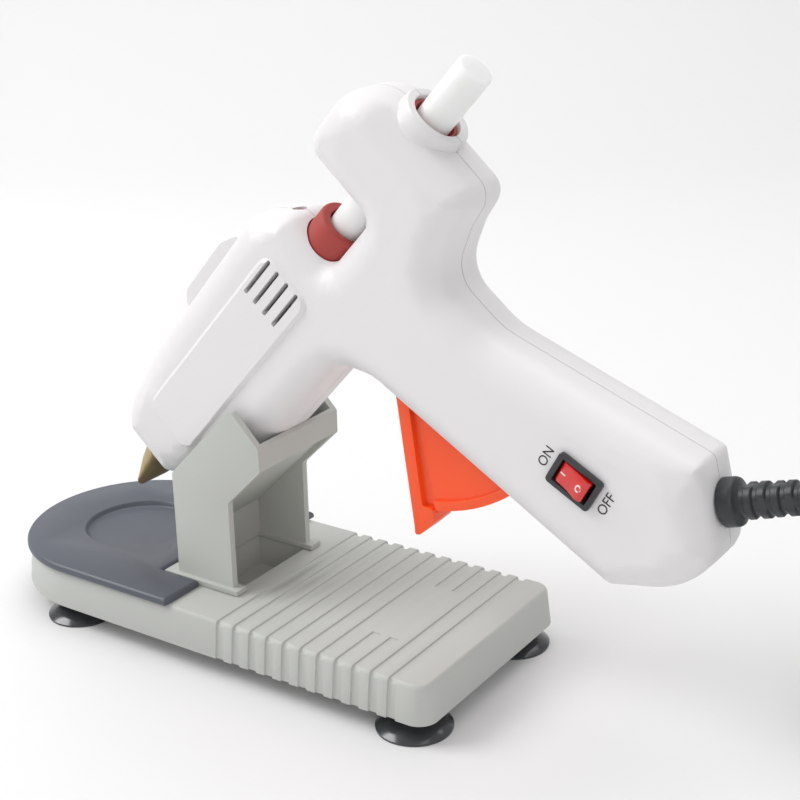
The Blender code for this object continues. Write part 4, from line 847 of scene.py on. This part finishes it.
# ---------------------------------------------------------------- stand
def base_outline(grow=0.0, n=60):
    r = BASE_HW + grow
    xr, cr = BASE_XR + grow, 5.0
    pts = [(BASE_XC + r * math.cos(math.pi / 2 + math.pi * k / n), r * math.sin(math.pi / 2 + math.pi * k / n)) for k in range(n + 1)]
    pts += [(xr - cr + cr * math.cos(a), -r + cr + cr * math.sin(a)) for a in (math.radians(-90 + 10 * k) for k in range(10))]
    return pts + [(xr - cr + cr * math.cos(a), r - cr + cr * math.sin(a)) for a in (math.radians(10 * k) for k in range(10))]


def level(pts, z):
    return [P(x, y, z) for x, y in pts]


rows = [(-BASE_H, -BASE_DRAFT), (-8.0, -0.85), (-1.5, -0.12)] + [(-1.4 + 1.4 * math.sin(math.radians(a)), 1.2 * (1 - math.cos(math.radians(a)))) for a in (22, 45, 67, 90)]
base = loft("base", [level(offset(base_outline(), d), z) for z, d in rows], GREY)
tools = []
for i in range(11):
    x0 = -31.9 + 6.52 * i
    e = 0.55
    ya, yb = BASE_HW - e, BASE_HW + BASE_DRAFT - e
    secs = []
    if 11.2 < x0 < 21.8:
        for s in (-1, 1):
            secs.append([(s * y, z) for y, z in ((44, -14), (44, 5), (17.8, 5), (17.8, -e), (ya - 1.2, -e), (ya, -e - 1.2), (yb, -14))])
    else:
        secs.append([(-44, -14), (-44, 5), (44, 5), (44, -14), (yb, -14), (ya, -e - 1.2), (ya - 1.2, -e), (-ya + 1.2, -e), (-ya, -e - 1.2), (-yb, -14)])
    for sec in secs:
        b_ = bmesh.new()
        a_ = [b_.verts.new(P(x0, y, z)) for y, z in sec]
        c_ = [b_.verts.new(P(x0 + 3.1, y, z)) for y, z in sec]
        b_.faces.new(a_)
        b_.faces.new(list(reversed(c_)))
        for k in range(len(sec)):
            j = (k + 1) % len(sec)
            b_.faces.new((a_[k], c_[k], c_[j], a_[j]))
        tools.append(finish("c", b_, GREY))
cut(base, merged(tools))
hollow = ngon_prism("c", [(x, y) for x, y in offset(base_outline(), 2.4)], 0, 1, GREY, lambda a, y, b: P(a, b, -BASE_H - 1.0 if y == 0 else -2.6))
cut(hollow, ngon_prism("c", [(-71.0, -25.5), (-33.5, -25.5), (-33.5, 25.5), (-71.0, 25.5)], 0, 1, GREY, lambda a, y, b: P(a, b, -20.0 if y == 0 else 5.0)))
cut(base, hollow)
cut(base, box("c", -59.9, -39.7, -18.1, 18.1, -11.0, 2.0))
place(soften(base, 0.25, 2, 35), "stand", "base", "base_shell")

tp = [(BASE_XC + 40 * math.cos(math.pi / 2 + math.pi * k / 60), 40 * math.sin(math.pi / 2 + math.pi * k / 60)) for k in range(61)]
tp += [(-52.0, -40.0), (-52.0, -23.1), (-67.9, -23.1), (-67.9, 23.1), (-52.0, 23.1), (-52.0, 40.0)]
tray = loft("tray", [level(offset(tp, d), z) for z, d in ((0.3, 0.0), (1.5, 0.1), (2.0, 0.35), (2.4, 0.75), (2.6, 1.25))], SLATE)
cut(tray, lathe("c", [(0, 0), (0, 17.2), (0.15, 18.0), (0.5, 18.7), (1.9, 19.3), (2.2, 19.7), (8, 19.7), (8, 0)], (-99.0, 0, 0.42), (0, 0, 1), 96))
place(soften(tray, 0.2, 2, 40), "stand", "tray", "drip_tray")

PX0, PX1, PHW, PT, LX = -62.5, -39.4, 20.8, 2.4, -25.8
post = ngon_prism("post", rounded([(PX0, 0.3, 0), (PX1, 0.3, 0), (PX1, 31.8, 2), (LX, 45.2, 1), (LX, 53.0, 1), (-36.4, 64.0, 1.2), (PX0, 37.5, 2)], 15), -PHW, PHW, POST)
cut(post, ngon_prism("c", [(PX0 + 3.0, -1.0), (LX + 8, -1.0), (LX + 8, 45.2), (LX, 45.2), (LX - PT, 45.2), (LX - 4.9, 42.6), (PX0 + 3.0, 14.0)], -PHW + PT, PHW - PT))
cut(post, ngon_prism("c", [(PX0 - 5, 17.7), (LX - PT, 49.5), (LX - PT, 50.6), (LX - PT + 1.4, 52.6), (LX - PT + 1.4, 80), (PX0 - 5, 80)], -PHW + PT, PHW - PT))
flange = [(-67.4, -22.6), (-36.4, -22.6), (-36.4, -17.5), (PX0 + 2.6, -17.5), (PX0 + 2.6, 17.5), (-36.4, 17.5), (-36.4, 22.6), (-67.4, 22.6)]
join(post, ngon_prism("c", flange, 0, 1, POST, lambda a, y, b: P(a, b, 0.25 if y == 0 else 1.9)))
place(soften(post, 0.4, 3, 35), "stand", "post", "cradle_post")

for k, (x, y) in enumerate([(36.5, -29.6), (36.5, 29.6), (-100.5, -29.6), (-100.5, 29.6)]):
    place(lathe(f"foot_{k + 1}", [(0.9, 0), (0.5, 5.0), (0.25, 8.5), (0, 11.6), (0.1, 11.9), (0.7, 11.9), (1.5, 10.8), (2.2, 9.6), (3.0, 7.8), (3.6, 6.2), (4.1, 4.6), (4.6, 3.5), (5.0, 3.4), (8.7, 3.4), (8.7, 5.3), (10.4, 5.3), (10.4, 0)],
                (x, y, FLOOR_Z), (0, 0, 1), 64, FOOT), "stand", "foot", f"suction_foot_{k + 1}")

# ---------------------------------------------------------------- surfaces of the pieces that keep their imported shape
KEEP = {"base_plate": GREY, "melt_chamber": ALU, "heater_element": ALU, "heater_clip": STEEL, "front_support": DARK, "sleeve_clamp": STEEL, "feed_carriage": DARK,
        "grip_plate": STEEL, "trigger_pin": STEEL, "trigger_spring": STEEL, "heater_wire": WIRE, "switch_wire": DARK, "switch_terminal_1": BRASS, "switch_terminal_2": BRASS,
        "cord_clamp": DARK, "post_screw_1": STEEL, "post_screw_2": STEEL, **{f"housing_screw_{k}": STEEL for k in range(1, 8)}}
for name_, mat_ in KEEP.items():
    ob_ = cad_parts[name_]
    for slot_ in ob_.material_slots:
        slot_.material = mat_

# ---------------------------------------------------------------- stage and light
fl = bpy.data.meshes.new("floor")
ys = [(-3.0, 0.0)] + [(0.75 + 0.5 * math.sin(math.radians(a)), 0.5 - 0.5 * math.cos(math.radians(a))) for a in range(0, 91, 6)] + [(1.25, 3.0)]
yaw = math.radians(34.225)
fl.from_pydata([(x * math.cos(yaw) - y * math.sin(yaw), x * math.sin(yaw) + y * math.cos(yaw), z) for y, z in ys for x in (-5.0, 5.0)], [], [(2 * k, 2 * k + 1, 2 * k + 3, 2 * k + 2) for k in range(len(ys) - 1)])
fl.shade_smooth()
floor = bpy.data.objects.new("floor", fl)
bpy.context.scene.collection.objects.link(floor)
fm = bpy.data.materials.new("floor")
fm.use_nodes = True
fb = fm.node_tree.nodes["Principled BSDF"]
fb.inputs["Base Color"].default_value = (0.80, 0.80, 0.80, 1)
fb.inputs["Roughness"].default_value = 0.85
fl.materials.append(fm)
w = bpy.data.worlds.new("world")
w.use_nodes = True
w.node_tree.nodes["Background"].inputs["Color"].default_value = (1.0, 1.0, 1.0, 1)
w.node_tree.nodes["Background"].inputs["Strength"].default_value = 0.55
bpy.context.scene.world = w
bpy.context.scene.view_settings.view_transform = "Standard"


def lamp(name, loc, target, size, power, colour=(1, 1, 1)):
    li = bpy.data.lights.new(name, "AREA")
    li.shape = "RECTANGLE"
    li.size, li.size_y = size
    li.energy = power
    li.color = colour
    ob = bpy.data.objects.new(name, li)
    bpy.context.scene.collection.objects.link(ob)
    ob.location = loc
    ob.rotation_euler = (Vector(target) - Vector(loc)).to_track_quat("-Z", "Y").to_euler()
    return ob


lamp("key", (-0.85, -0.45, 1.0), (0, 0, 0.06), (0.7, 0.7), 10.5)
lamp("fill", (1.0, -0.7, 0.7), (0, 0, 0.08), (1.0, 1.0), 2.4)
lamp("top", (0.0, 0.5, 1.5), (0, 0, 0.05), (1.4, 1.4), 9.0)
